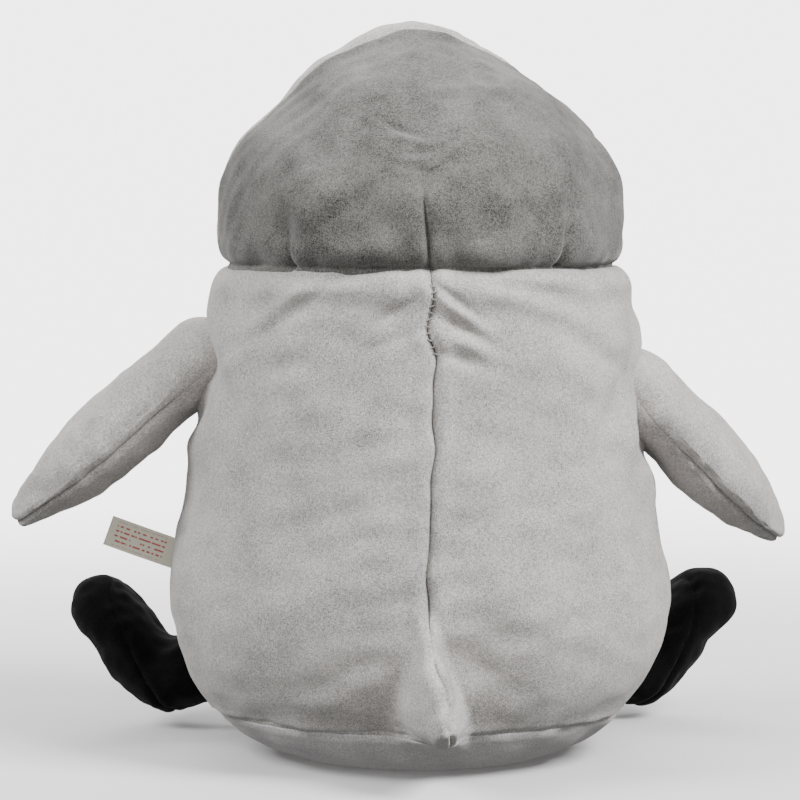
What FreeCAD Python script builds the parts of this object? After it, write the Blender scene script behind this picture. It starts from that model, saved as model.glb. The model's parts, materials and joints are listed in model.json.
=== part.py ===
import FreeCAD, Part
import math
import os

# A seated plush penguin chick, in millimetres.
# It faces -Y, its left side is +X, and it sits on the plane z = 0.
# The origin is the middle of the flat patch that it sits on.

V = FreeCAD.Vector

# ---- driving dimensions -------------------------------------------------
SKIN = 2.0                # thickness of the plush cloth, backing and pile
GAP = 0.6                 # running clearance between bodies that move
FILL_GAP = 0.1            # between a cover and the stuffing inside it
FILL = SKIN + FILL_GAP    # how far the stuffing is inside the outer form

NECK_Z = 248.0            # height of the neck seam
BASE_SEAM_Z = 23.5        # height of the seam around the base
SIDE_SEAM_Y = -6.0        # plane of the two side seams
BACK_SEAM_X = -4.0        # plane of the centre back seam

# height, half width, depth behind the middle, depth in front of it
BODY_RINGS = (
    (0.0, 56.0, 50.0, 56.0),
    (3.0, 72.0, 65.0, 72.0),
    (8.0, 84.0, 77.0, 85.0),
    (15.0, 95.0, 87.0, 97.0),
    (25.0, 105.0, 95.0, 107.0),
    (40.0, 116.5, 104.0, 117.0),
    (60.0, 124.0, 109.0, 122.0),
    (82.0, 127.0, 110.5, 124.0),
    (105.0, 123.0, 109.5, 122.0),
    (135.0, 117.5, 107.0, 117.0),
    (170.0, 114.0, 104.5, 112.0),
    (205.0, 111.0, 103.0, 107.5),
    (230.0, 105.5, 102.0, 103.5),
    (248.0, 102.0, 101.5, 102.0),
)
INSET_MIDDLE_Z = 120.0    # rings below this also move up when the body is inset

HEAD_PIVOT_Z = 268.0      # widest level of the head, and the height of its nod axis
HEAD_R = 102.0            # at the pivot, and of the ball that sits in the neck
HEAD_TOP_Z = 369.5
# half width and height of the dome above the pivot
DOME = ((100.0, 286.0), (88.5, 311.0), (61.0, 341.5), (27.0, 362.0))
HEAD_SKIN_BOTTOM_Z = 230.0
# the seam between the grey back of the head and the pale face is a plane
HOOD_SEAM_TOP_Y = 20.0    # where it crosses the top of the head
HOOD_SEAM_SLOPE = 0.20    # how far it comes forward for each mm down
HOOD_SEAM_TWIST = 0.05    # how far it goes back for each mm to the left

TAIL_ROOT = V(-3.0, 82.0, 57.0)
TAIL_TIP = V(-12.0, 131.0, 32.0)
TAIL_ROOT_R = 31.0
TAIL_TIP_R = 6.5

WING_LENGTH = 113.0       # from the hinge to the tip
WING_HALF_CHORD = 31.0    # front to back, at the root
WING_HALF_THICK = 20.0
WING_SEAM_Z = -1.0        # the edge seam, a little below the middle of the wing
WING_DROPS = (0.0, 4.0, 8.0)  # degrees below rest that the body leaves room for
# half chord along the wing, from the hinge to the tip
WING_CHORD = ((38.0, 35.5), (72.0, 32.0), (96.0, 23.0))
# side: hinge point, droop, forward sweep and roll in degrees
WINGS = {
    "left": (V(121.0, 0.0, 192.0), 41.0, 4.0, -6.0),
    "right": (V(-121.0, -4.0, 174.0), 45.0, 32.0, 4.0),
}

# the leg's root is a round pad about the hip's upright axis, so it turns in its place
HIP_R = 30.0
HIP_HALF = 19.0
HIP_DROP = 4.5
# side: hip point, and degrees from straight out towards the front
LEGS = {
    "left": (V(84.0, -62.0, 28.0), 12.0),
    "right": (V(-74.0, -74.0, 28.0), 28.0),
}
# sections of the stuffed leg and foot, from the hip to the toes:
# distance out, height, lean in degrees, half width front to back, half thickness
FOOT_SECTIONS = (
    (-5.0, 0.0, 0.0, 13.0, 12.0),
    (20.0, -4.5, 0.0, 19.0, 17.0),
    (44.0, -5.5, 6.0, 23.0, 18.5),
    (66.0, -0.5, 32.0, 26.5, 20.5),
    (80.0, 14.0, 62.0, 27.5, 19.5),
    (86.0, 30.0, 84.0, 24.5, 17.0),
    (86.5, 42.0, 94.0, 16.0, 11.0),
    (86.0, 47.5, 96.0, 8.0, 5.0),
)
# the seam round the foot's edge is a plane that leans up and out to the toes
FOOT_SEAM_POINT = V(70.0, 0.0, 2.0)
FOOT_SEAM_NORMAL = V(-0.9, 0.0, 0.44)

LABEL_ROOT = V(125.5, SIDE_SEAM_Y, 100.0)
LABEL_RISE = 20.0         # degrees above horizontal
LABEL_LENGTH = 36.0
LABEL_WIDTH = 15.5
LABEL_THICK = 0.6         # two plies of ribbon
LABEL_GAP = 1.2

EYE_X, EYE_Z = 35.0, 294.0
EYE_R = 6.5
EYE_HEIGHT = 5.0
SHANK_R, SHANK_LENGTH = 2.2, 15.0
WASHER_R, WASHER_THICK, WASHER_DEPTH = 8.0, 1.4, 2.8
SHANK_FIT = 0.05          # radial clearance of the shank in skin and washer

BEAK_Z = 281.0
BEAK_HALF = V(11.0, 21.0, 8.0)
BEAK_SINK = 2.0           # how far the middle of the beak is behind the face
BEAK_SKIN = 1.5

PELLET_BAG_CENTRE = V(0.0, 2.0, 38.0)
PELLET_BAG_HALF = V(72.0, 62.0, 27.0)
PELLET_BAG_CLOTH = 1.0

STITCH_R = 0.35
STITCH_SPAN = 4.5
STITCH_COUNT = 10
STITCH_BOTTOM_Z, STITCH_TOP_Z = 208.0, 240.0
STITCH_LEAN = 0.8

FAR = 600.0               # larger than the toy, for cutting tools


# ---- helpers ------------------------------------------------------------
def ring(z, half_width, back, front):
    """Closed smooth outline at one height, deeper in front than behind."""
    points = []
    count = 16
    for i in range(count):
        turn = 2.0 * math.pi * i / count
        depth = back if math.sin(turn) > 0 else front
        points.append(V(half_width * math.cos(turn), depth * math.sin(turn), z))
    curve = Part.BSplineCurve()
    curve.interpolate(Points=points, PeriodicFlag=True)
    return Part.Wire([curve.toShape()])


def block(low, high):
    """Box between two corners."""
    size = high - low
    return Part.makeBox(size.x, size.y, size.z, low)


def half_space(point, normal):
    """A big box on the side of a plane that its normal points to."""
    box = Part.makeBox(2 * FAR, 2 * FAR, FAR, V(-FAR, -FAR, 0))
    turn = FreeCAD.Rotation(V(0, 0, 1), normal)
    box.Placement = FreeCAD.Placement(point, turn)
    return box


def stretched(shape, x, y, z):
    """A copy of a shape scaled by a different factor along each axis."""
    matrix = FreeCAD.Matrix()
    matrix.scale(V(x, y, z))
    return shape.transformGeometry(matrix)


def lump(centre, half):
    """Ellipsoid of the given half sizes."""
    radius = max(half.x, half.y, half.z)
    ball = Part.makeSphere(radius)
    made = stretched(ball, half.x / radius, half.y / radius, half.z / radius)
    made.translate(centre)
    return made


def spun(edges, axis):
    """Solid of revolution about a line through the origin, from a closed profile."""
    face = Part.Face(Part.Wire(Part.__sortEdges__(edges)))
    made = face.revolve(V(0, 0, 0), axis, 360)
    if made.ShapeType != "Solid":
        made = made.Solids[0]
    return made


def hollow(outer, inner):
    """The skin between an outer form and an inner form that lies wholly inside it."""
    walls = [outer.Solids[0].Shells[0], inner.Solids[0].Shells[0].reversed()]
    return Part.makeSolid(Part.makeCompound(walls))


def one_solid(shape):
    """The largest solid of a cut's result, with clean faces."""
    return max(shape.Solids, key=lambda s: s.Volume)


def frame_at(point, along, across):
    """Placement whose X and Y axes are two given directions at right angles."""
    turn = FreeCAD.Rotation(along, across, along.cross(across), "XYZ")
    return FreeCAD.Placement(point, turn)


def placed(shape, placement):
    """A copy of a shape moved by a placement."""
    moved = shape.copy()
    moved.Placement = placement.multiply(moved.Placement)
    return moved


# ---- outer forms, each with an inset for the skin's inner face ----------
def body_form(inset=0.0):
    """The body's pear shape, from the base to the neck seam."""
    rings = []
    for z, half_width, back, front in BODY_RINGS:
        lift = inset * max(0.0, (INSET_MIDDLE_Z - z) / INSET_MIDDLE_Z)
        rings.append(ring(z + lift, half_width - inset, back - inset, front - inset))
    return Part.makeLoft(rings, True, False).cut(half_space(V(0, 0, inset), V(0, 0, -1)))


def tail_form(inset=0.0):
    """The short pointed tail, from inside the body to its rounded tip."""
    run = TAIL_TIP - TAIL_ROOT
    cone = Part.makeCone(TAIL_ROOT_R - inset, TAIL_TIP_R - inset, run.Length, TAIL_ROOT, run)
    return cone.fuse(Part.makeSphere(TAIL_TIP_R - inset, TAIL_TIP))


def head_form(inset=0.0):
    """The head with the ball below it that sits in the neck; negative insets grow it."""
    radius = HEAD_R - inset
    rise = HEAD_TOP_Z - HEAD_PIVOT_Z
    across = radius / HEAD_R
    upward = (rise - inset) / rise
    side = V(radius, 0, HEAD_PIVOT_Z)
    top = V(0, 0, HEAD_TOP_Z - inset)
    foot = V(0, 0, HEAD_PIVOT_Z - radius)
    halfway = V(radius * math.sqrt(0.5), 0, HEAD_PIVOT_Z - radius * math.sqrt(0.5))
    ball = Part.Arc(foot, halfway, side).toShape()
    points = [side]
    points += [V(x * across, 0, HEAD_PIVOT_Z + (z - HEAD_PIVOT_Z) * upward) for x, z in DOME]
    points.append(top)
    curve = Part.BSplineCurve()
    curve.interpolate(Points=points, InitialTangent=V(0, 0, 1), FinalTangent=V(-1, 0, 0.12))
    profile = [ball, curve.toShape(), Part.LineSegment(top, foot).toShape()]
    return spun(profile, V(0, 0, 1))


def wing_form(inset=0.0):
    """A wing along +X with its hinge on the Y axis; its root is round about that axis."""
    chord = WING_HALF_CHORD - inset
    thick = WING_HALF_THICK - inset
    start = V(-thick, 0, 0)
    root = V(0, chord, 0)
    tip = V(WING_LENGTH - inset, 0, 0)
    ellipse = Part.Ellipse(V(0, chord, 0), V(-thick, 0, 0), V(0, 0, 0))
    knuckle = Part.ArcOfEllipse(ellipse, 0, math.pi / 2).toShape()
    points = [root] + [V(x, y - inset, 0) for x, y in WING_CHORD] + [tip]
    curve = Part.BSplineCurve()
    curve.interpolate(Points=points, InitialTangent=V(1, 0, 0), FinalTangent=V(0, -1, 0))
    profile = [knuckle, curve.toShape(), Part.LineSegment(tip, start).toShape()]
    made = spun(profile, V(1, 0, 0))
    made.rotate(V(0, 0, 0), V(1, 0, 0), 90)
    return stretched(made, 1, 1, thick / chord)


def foot_section(section, inset):
    """One closed ellipse across the leg or foot."""
    x, z, lean, across, thick = section
    turn = math.radians(lean)
    centre = V(x, 0, z)
    side = V(0, across - inset, 0)
    top = V(-math.sin(turn), 0, math.cos(turn)) * (thick - inset)
    return Part.Wire([Part.Ellipse(centre + side, centre + top, centre).toShape()])


def foot_form(inset=0.0):
    """A leg along +X from the hip ball at its origin, which bends up into the foot."""
    sections = [foot_section(section, inset) for section in FOOT_SECTIONS[:-1]]
    x, z, lean, across, thick = FOOT_SECTIONS[-1]
    sections.append(foot_section((x, z - inset, lean, across, thick), inset))
    leg = Part.makeLoft(sections, True, False)
    return one_solid(leg.fuse(hip_pad(inset)))


def hip_pad(inset):
    """The rounded pad at the leg's root, about the upright axis."""
    half = HIP_HALF - inset
    flat = HIP_R - HIP_HALF
    top, bottom = V(0, 0, half), V(0, 0, -half)
    top_edge, bottom_edge = V(flat, 0, half), V(flat, 0, -half)
    rim = Part.Arc(top_edge, V(flat + half, 0, 0), bottom_edge).toShape()
    profile = [
        Part.LineSegment(bottom, top).toShape(),
        Part.LineSegment(top, top_edge).toShape(),
        rim,
        Part.LineSegment(bottom_edge, bottom).toShape(),
    ]
    pad = spun(profile, V(0, 0, 1))
    pad.translate(V(0, 0, -HIP_DROP))
    return pad


# ---- where the limbs hang -----------------------------------------------
def wing_place(side):
    """Placement of a wing, and the axis that raises it."""
    point, droop, sweep, roll = WINGS[side]
    out = 1.0 if side == "left" else -1.0
    down, forward = math.radians(droop), math.radians(sweep)
    along = V(
        out * math.cos(down) * math.cos(forward),
        -math.sin(forward),
        -math.sin(down) * math.cos(forward),
    )
    level = V(0, out, 0)
    across = (level - along * level.dot(along)).normalize()
    across = FreeCAD.Rotation(along, roll).multVec(across)
    return frame_at(point, along, across), across * -1.0


def leg_place(side):
    """Placement of a foot, and the upright axis that swings it to the front."""
    point, turned = LEGS[side]
    out = 1.0 if side == "left" else -1.0
    yaw = math.radians(turned)
    along = V(out * math.cos(yaw), -math.sin(yaw), 0)
    across = V(0, 0, 1).cross(along)
    return frame_at(point, along, across), V(0, 0, -out)


def label_place():
    """Placement of the care label, whose sewn edge is its Z axis."""
    rise = math.radians(LABEL_RISE)
    along = V(math.cos(rise), 0, math.sin(rise))
    return frame_at(LABEL_ROOT, along, V(0, 1, 0))


# ---- sub-parts ----------------------------------------------------------
def limb_sockets():
    """The spaces in the body that the neck ball, wing roots and hips turn in."""
    tools = [head_form(-GAP)]
    for side in WINGS:
        place, lift = wing_place(side)
        for drop in WING_DROPS:
            lowered = placed(wing_form(-GAP), place)
            lowered.rotate(place.Base, lift, -drop)
            tools.append(lowered)
    for side in LEGS:
        tools.append(placed(foot_form(-GAP), leg_place(side)[0]))
    return tools


def cut_all(shape, tools):
    """Cuts a list of tools from a shape, one at a time."""
    for tool in tools:
        shape = shape.cut(tool)
    return one_solid(shape)


def body_parts(sockets):
    """The body's cloth panels, its stuffing and the pellet bag in its base."""
    outer = body_form().fuse(tail_form())
    inner = body_form(SKIN).fuse(tail_form(SKIN))
    shell = cut_all(hollow(outer, inner), sockets)
    above = half_space(V(0, 0, BASE_SEAM_Z), V(0, 0, 1))
    behind = half_space(V(0, SIDE_SEAM_Y, 0), V(0, 1, 0))
    left = half_space(V(BACK_SEAM_X, 0, 0), V(1, 0, 0))
    upper = shell.common(above)
    back = upper.common(behind)
    bag = lump(PELLET_BAG_CENTRE, PELLET_BAG_HALF)
    cloth = V(PELLET_BAG_CLOTH, PELLET_BAG_CLOTH, PELLET_BAG_CLOTH)
    pellets = lump(PELLET_BAG_CENTRE, PELLET_BAG_HALF - cloth)
    return {
        "base_panel": one_solid(shell.cut(above)),
        "belly_panel": one_solid(upper.cut(behind)),
        "back_left_panel": one_solid(back.common(left)),
        "back_right_panel": one_solid(back.cut(left)),
        "body_stuffing": cut_all(body_form(FILL), sockets + [bag]),
        "tail_stuffing": one_solid(tail_form(FILL).cut(body_form(SKIN - GAP))),
        "pellet_bag": one_solid(bag.cut(pellets)),
        "pellets": pellets,
    }


def closing_stitches():
    """Hand stitches that close the opening at the top of the centre back seam."""
    stitches = []
    for i in range(STITCH_COUNT):
        z = STITCH_BOTTOM_Z + (STITCH_TOP_Z - STITCH_BOTTOM_Z) * i / (STITCH_COUNT - 1)
        y = back_depth(z) + STITCH_R + 0.15
        lean = STITCH_LEAN if i % 2 else -STITCH_LEAN
        start = V(BACK_SEAM_X - STITCH_SPAN / 2, y, z - lean)
        end = V(BACK_SEAM_X + STITCH_SPAN / 2, y, z + lean)
        run = end - start
        stitches.append(Part.makeCylinder(STITCH_R, run.Length, start, run))
    return Part.makeCompound(stitches)


def back_depth(z):
    """How far the back of the body stands behind the middle at a height."""
    for low, high in zip(BODY_RINGS, BODY_RINGS[1:]):
        if low[0] <= z <= high[0]:
            share = (z - low[0]) / (high[0] - low[0])
            return low[2] + (high[2] - low[2]) * share
    raise ValueError("height outside the body")


def eye_place(side):
    """Placement on the face, with its Z axis out of the cloth."""
    x = EYE_X if side == "left" else -EYE_X
    ray = Part.LineSegment(V(x, -FAR, EYE_Z), V(x, 0, EYE_Z)).toShape()
    head = head_form()
    point = min((v.Point for v in head.common(ray).Vertexes), key=lambda p: p.y)
    skin = min(head.Faces, key=lambda face: face.distToShape(Part.Vertex(point))[0])
    outward = skin.normalAt(*skin.Surface.parameter(point))
    if outward.dot(point - V(0, 0, HEAD_PIVOT_Z)) < 0:
        outward = outward * -1.0
    return FreeCAD.Placement(point, FreeCAD.Rotation(V(0, 0, 1), outward))


def eye_parts(side, head):
    """A domed eye on a shank, its washer, and the hole that each needs."""
    place = eye_place(side)
    dome = lump(V(0, 0, 0), V(EYE_R, EYE_R, EYE_HEIGHT))
    dome = placed(dome, place).cut(head)
    shank = Part.makeCylinder(SHANK_R, SHANK_LENGTH + 1.0, V(0, 0, -SHANK_LENGTH))
    hole = Part.makeCylinder(SHANK_R + SHANK_FIT, SHANK_LENGTH + 3.0, V(0, 0, -SHANK_LENGTH - 0.5))
    washer = Part.makeCylinder(WASHER_R, WASHER_THICK, V(0, 0, -WASHER_DEPTH - WASHER_THICK))
    washer = placed(washer, place)
    hole = placed(hole, place)
    return {
        f"{side}_eye": one_solid(dome.fuse(placed(shank, place))),
        f"{side}_eye_washer": one_solid(washer.cut(hole)),
    }, [hole, washer]


def beak_parts(head):
    """A small stuffed beak sewn to the middle of the face."""
    face_y = -math.sqrt(HEAD_R**2 - (BEAK_Z - HEAD_PIVOT_Z) ** 2)
    centre = V(0, face_y + BEAK_SINK, BEAK_Z)
    thin = V(BEAK_SKIN, BEAK_SKIN, BEAK_SKIN)
    outer = lump(centre, BEAK_HALF).cut(head)
    inner = lump(centre, BEAK_HALF - thin).cut(head)
    shell = outer.cut(inner)
    above = half_space(centre, V(0, 0, 1))
    return {
        "beak_upper": one_solid(shell.common(above)),
        "beak_lower": one_solid(shell.cut(above)),
        "beak_stuffing": one_solid(inner),
    }


def head_parts():
    """The head's cloth panels and stuffing, with the eyes and the beak."""
    outer = head_form()
    inner = head_form(SKIN)
    parts = beak_parts(outer)
    skin_holes, stuffing_holes = [], []
    for side in ("left", "right"):
        pieces, holes = eye_parts(side, outer)
        parts.update(pieces)
        skin_holes.append(holes[0])
        stuffing_holes += holes
    below = half_space(V(0, 0, HEAD_SKIN_BOTTOM_Z), V(0, 0, -1))
    shell = cut_all(hollow(outer, inner), [below] + skin_holes)
    seam_normal = V(-HOOD_SEAM_TWIST, 1, -HOOD_SEAM_SLOPE).normalize()
    behind = half_space(V(0, HOOD_SEAM_TOP_Y, HEAD_TOP_Z), seam_normal)
    left = half_space(V(0, 0, 0), V(1, 0, 0))
    face = shell.cut(behind)
    parts["head_back_panel"] = one_solid(shell.common(behind))
    parts["face_left_panel"] = one_solid(face.common(left))
    parts["face_right_panel"] = one_solid(face.cut(left))
    filling = head_form(FILL).fuse(outer.common(below))
    parts["head_stuffing"] = cut_all(filling, stuffing_holes)
    return parts


def wing_parts(side):
    """One wing: two cloth panels sewn round their edge, and the stuffing."""
    place = wing_place(side)[0]
    outer, inner = wing_form(), wing_form(SKIN)
    shell = hollow(outer, inner)
    above = half_space(V(0, 0, WING_SEAM_Z), V(0, 0, 1))
    return {
        f"{side}_wing_upper_panel": placed(one_solid(shell.common(above)), place),
        f"{side}_wing_lower_panel": placed(one_solid(shell.cut(above)), place),
        f"{side}_wing_stuffing": placed(wing_form(FILL), place),
    }


def foot_parts(side):
    """One foot: an upper with the leg, a sole sewn round its edge, and the stuffing."""
    place = leg_place(side)[0]
    outer, inner = foot_form(), foot_form(SKIN)
    shell = hollow(outer, inner)
    above = half_space(FOOT_SEAM_POINT, FOOT_SEAM_NORMAL)
    return {
        f"{side}_foot_upper": placed(one_solid(shell.common(above)), place),
        f"{side}_foot_sole": placed(one_solid(shell.cut(above)), place),
        f"{side}_foot_stuffing": placed(foot_form(FILL), place),
    }


def care_label():
    """The folded ribbon label that hangs out of the left side seam."""
    ribbon = block(
        V(LABEL_GAP, -LABEL_THICK / 2, -LABEL_WIDTH / 2),
        V(LABEL_LENGTH, LABEL_THICK / 2, LABEL_WIDTH / 2),
    )
    return placed(ribbon, label_place())


def all_parts():
    """Every sub-part by its node name."""
    parts = body_parts(limb_sockets())
    parts["closing_stitches"] = closing_stitches()
    parts.update(head_parts())
    for side in ("left", "right"):
        parts.update(wing_parts(side))
        parts.update(foot_parts(side))
    parts["care_label"] = care_label()
    return parts


def main():
    """Writes one STEP file for each sub-part."""
    os.makedirs("parts", exist_ok=True)
    for name, shape in all_parts().items():
        if not shape.isValid():
            raise RuntimeError(name + " is not a valid solid")
        shape.exportStep("parts/" + name + ".step")
        print(name, len(shape.Solids), "solid", round(shape.Volume / 1000, 2), "cm3")


main()
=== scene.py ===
import json
import logging
import math
from dataclasses import dataclass
from enum import Enum
from typing import Sequence

import bmesh
import bpy
import numpy as np
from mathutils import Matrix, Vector
from mathutils.bvhtree import BVHTree


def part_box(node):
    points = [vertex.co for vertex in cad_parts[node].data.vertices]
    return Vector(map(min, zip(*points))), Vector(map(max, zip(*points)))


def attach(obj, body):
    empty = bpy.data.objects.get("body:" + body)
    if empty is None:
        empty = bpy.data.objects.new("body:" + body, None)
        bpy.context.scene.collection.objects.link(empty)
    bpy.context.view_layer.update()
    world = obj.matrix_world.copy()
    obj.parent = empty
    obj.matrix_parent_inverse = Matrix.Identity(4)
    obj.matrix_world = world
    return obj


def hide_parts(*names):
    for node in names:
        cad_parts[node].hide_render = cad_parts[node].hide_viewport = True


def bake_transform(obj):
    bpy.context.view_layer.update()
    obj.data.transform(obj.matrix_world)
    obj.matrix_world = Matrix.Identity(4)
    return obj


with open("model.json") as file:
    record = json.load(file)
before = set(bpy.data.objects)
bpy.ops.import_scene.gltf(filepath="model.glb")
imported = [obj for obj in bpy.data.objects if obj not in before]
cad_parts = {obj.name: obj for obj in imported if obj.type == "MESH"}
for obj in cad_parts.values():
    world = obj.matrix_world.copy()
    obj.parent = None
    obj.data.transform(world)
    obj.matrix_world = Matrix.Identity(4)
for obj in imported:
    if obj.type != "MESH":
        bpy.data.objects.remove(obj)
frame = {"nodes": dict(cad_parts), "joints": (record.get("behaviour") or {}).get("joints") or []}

MM = 0.001
UP = np.array([0.0, 0.0, 1.0])
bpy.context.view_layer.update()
LOG = logging.getLogger("penguin_chick")
Array = np.ndarray


# ---- shader tools -------------------------------------------------------
class Signal:
    """The value of one socket, on which arithmetic adds Math nodes."""

    def __init__(self, shader: "Shader", socket: bpy.types.NodeSocket) -> None:
        """Keeps the socket and the shader that it is in."""
        self.shader = shader
        self.socket = socket

    def __add__(self, other: "Signal | float") -> "Signal":
        """Sum."""
        return self.shader.math("ADD", self, other)

    def __sub__(self, other: "Signal | float") -> "Signal":
        """Difference."""
        return self.shader.math("SUBTRACT", self, other)

    def __rsub__(self, other: float) -> "Signal":
        """Difference from a number."""
        return self.shader.math("SUBTRACT", other, self)

    def __mul__(self, other: "Signal | float") -> "Signal":
        """Product."""
        return self.shader.math("MULTIPLY", self, other)

    def __gt__(self, other: float) -> "Signal":
        """One where the value is above a limit, else zero."""
        return self.shader.math("GREATER_THAN", self, other)

    __radd__ = __add__
    __rmul__ = __mul__


class Shader:
    """A material's node tree, with short ways to add and join nodes."""

    def __init__(self, name: str) -> None:
        """Starts a material that has only its surface shader.

        Args:
            name: the material's name.
        """
        self.material = bpy.data.materials.new(name)
        self.material.use_nodes = True
        self.tree = self.material.node_tree
        self.surface = self.tree.nodes["Principled BSDF"]

    def node(self, kind: str, settings: dict, sockets: dict, out: str | int = 0) -> Signal:
        """Adds one node.

        Args:
            kind: the node's type.
            settings: its properties, or a ramp's "stops", which are set first.
            sockets: values or signals for its inputs.
            out: which output to return.

        Returns:
            The chosen output.
        """
        made = self.tree.nodes.new(kind)
        for key, value in settings.items():
            if key == "stops":
                self.set_stops(made.color_ramp, value)
            else:
                setattr(made, key, value)
        for key, value in sockets.items():
            self.feed(made.inputs[key], value)
        return Signal(self, made.outputs[out])

    def set_stops(self, ramp: bpy.types.ColorRamp, stops: Sequence[tuple[float, float]]) -> None:
        """Gives a grey ramp its stops, each a place and a value.

        Args:
            ramp: the ramp to set.
            stops: places and grey values, in order.
        """
        while len(ramp.elements) < len(stops):
            ramp.elements.new(0.5)
        for element, (place, value) in zip(ramp.elements, stops):
            element.position = place
            element.color = (value, value, value, 1.0)

    def feed(self, socket: bpy.types.NodeSocket, value: object) -> None:
        """Links a signal to an input, or sets a plain value on it.

        Args:
            socket: the input to feed.
            value: a signal or a plain value.
        """
        if isinstance(value, Signal):
            self.tree.links.new(value.socket, socket)
        else:
            socket.default_value = value

    def math(self, operation: str, left: Signal | float, right: Signal | float) -> Signal:
        """Adds a Math node."""
        return self.node("ShaderNodeMath", {"operation": operation}, {0: left, 1: right})

    def mix(self, factor: Signal | float, low: object, high: object) -> Signal:
        """Mixes two colours.

        Args:
            factor: 0 for the first colour, 1 for the second.
            low: the first colour.
            high: the second colour.

        Returns:
            The mixed colour.
        """
        settings = {"data_type": "RGBA"}
        sockets = {"Factor": factor, 6: low, 7: high}
        return self.node("ShaderNodeMix", settings, sockets, out=2)

    def place(self) -> Signal:
        """The point on the surface, in metres in the object's frame."""
        return self.node("ShaderNodeTexCoord", {}, {}, out="Object")

    def noise(self, size: float, detail: float = 2.0, roughness: float = 0.5) -> Signal:
        """Cloudy noise whose lumps are about a given size across, in metres.

        Args:
            size: about how large one lump is, in metres.
            detail: how many finer layers are added.
            roughness: how strong the finer layers are.

        Returns:
            The noise, from 0 to 1.
        """
        sockets = {
            "Vector": self.place(),
            "Scale": 1.0 / size,
            "Detail": detail,
            "Roughness": roughness,
        }
        return self.node("ShaderNodeTexNoise", {}, sockets)

    def ramp(self, value: Signal, stops: Sequence[tuple[float, float]]) -> Signal:
        """Maps a value through a grey ramp."""
        return self.node("ShaderNodeValToRGB", {"stops": stops}, {"Fac": value})

    def bump(self, height: Signal, depth: float, strength: float = 1.0) -> None:
        """Roughens the surface by a height signal of a given depth in metres."""
        sockets = {"Height": height, "Distance": depth, "Strength": strength}
        self.finish(Normal=self.node("ShaderNodeBump", {}, sockets))

    def finish(self, **sockets: object) -> None:
        """Sets the surface's sockets, whose names have _ for each space."""
        for key, value in sockets.items():
            self.feed(self.surface.inputs[key.replace("_", " ")], value)


def linear(red: int, green: int, blue: int) -> tuple[float, float, float, float]:
    """A display colour, 0 to 255, as the linear colour that a shader takes.

    Args:
        red: red, 0 to 255.
        green: green, 0 to 255.
        blue: blue, 0 to 255.

    Returns:
        The linear colour, with full alpha.
    """
    parts = []
    for value in (red, green, blue):
        share = value / 255.0
        parts.append(share / 12.92 if share <= 0.04045 else ((share + 0.055) / 1.055) ** 2.4)
    return (parts[0], parts[1], parts[2], 1.0)


# ---- finishes -----------------------------------------------------------
@dataclass(frozen=True)
class PlushFinish:
    """Short brushed pile, whose colour paints the tufts light, as if they catch the light, and the gaps
    between them darker, as painted shade.
    """

    name: str
    # tip is the lit tuft colour; the second colour is painted shade in the gaps between tufts.
    tip: tuple[float, float, float, float]
    shaded_gap: tuple[float, float, float, float]
    tuft: float = 0.6 * MM
    nap: float = 30 * MM
    depth: float = 0.45 * MM
    sheen: float = 0.3
    # How much the nap patches lighten the colour, as painted nap shading.
    nap_shading: float = 0.2

    def material(self) -> bpy.types.Material:
        """Builds the shader.

        Returns:
            The finished material.
        """
        shader = Shader(self.name)
        lay = shader.noise(self.nap, detail=3.0, roughness=0.6)
        tufts = shader.noise(self.tuft, detail=2.0, roughness=0.7)
        rows = shader.noise(self.tuft * 2.6, detail=1.0, roughness=0.6)
        pile = tufts * 0.8 + rows * 0.2
        # Painted highlight and shade: high pile noise takes the lit tip colour, low pile noise the
        # darker painted shade of the gaps; the same noise drives the bump.
        lit = shader.ramp(pile, [(0.37, 0.0), (0.50, 0.5), (0.63, 1.0)])
        # Large patches where the nap lies another way: the patches fall at random, their lighter colour
        # is painted nap shading, and they are a little less rough.
        patch = shader.ramp(lay, [(0.34, 0.0), (0.66, 1.0)])
        colour = shader.mix(lit * (1 - self.nap_shading) + patch * self.nap_shading, self.shaded_gap, self.tip)
        shader.finish(Base_Color=colour, Roughness=0.98 - 0.1 * patch)
        shader.finish(Sheen_Weight=self.sheen, Sheen_Roughness=0.5, Specular_IOR_Level=0.1)
        shader.bump(pile, self.depth, 0.8)
        return shader.material


@dataclass(frozen=True)
class ThreadFinish:
    """Two-ply sewing thread."""

    name: str
    colour: tuple[float, float, float, float]
    ply: float = 0.5 * MM

    def material(self) -> bpy.types.Material:
        """Builds the shader.

        Returns:
            The finished material.
        """
        shader = Shader(self.name)
        twist = shader.noise(self.ply, detail=1.0)
        # Painted shade: where the twist noise, which also drives the bump, is low, the thread is darker.
        twist_shade = tuple(0.6 * part for part in self.colour[:3]) + (1.0,)
        shader.finish(Base_Color=shader.mix(twist, twist_shade, self.colour), Roughness=0.8)
        shader.bump(twist, 0.15 * MM)
        return shader.material


@dataclass(frozen=True)
class FibreFinish:
    """Loose white filling fibre."""

    name: str
    colour: tuple[float, float, float, float]
    strand: float = 1.6 * MM

    def material(self) -> bpy.types.Material:
        """Builds the shader.

        Returns:
            The finished material.
        """
        shader = Shader(self.name)
        strands = shader.noise(self.strand, detail=4.0, roughness=0.7)
        shade = tuple(0.72 * part for part in self.colour[:3]) + (1.0,)
        shader.finish(Base_Color=shader.mix(strands, shade, self.colour), Roughness=0.95)
        shader.bump(strands, 1.2 * MM)
        return shader.material


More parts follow.
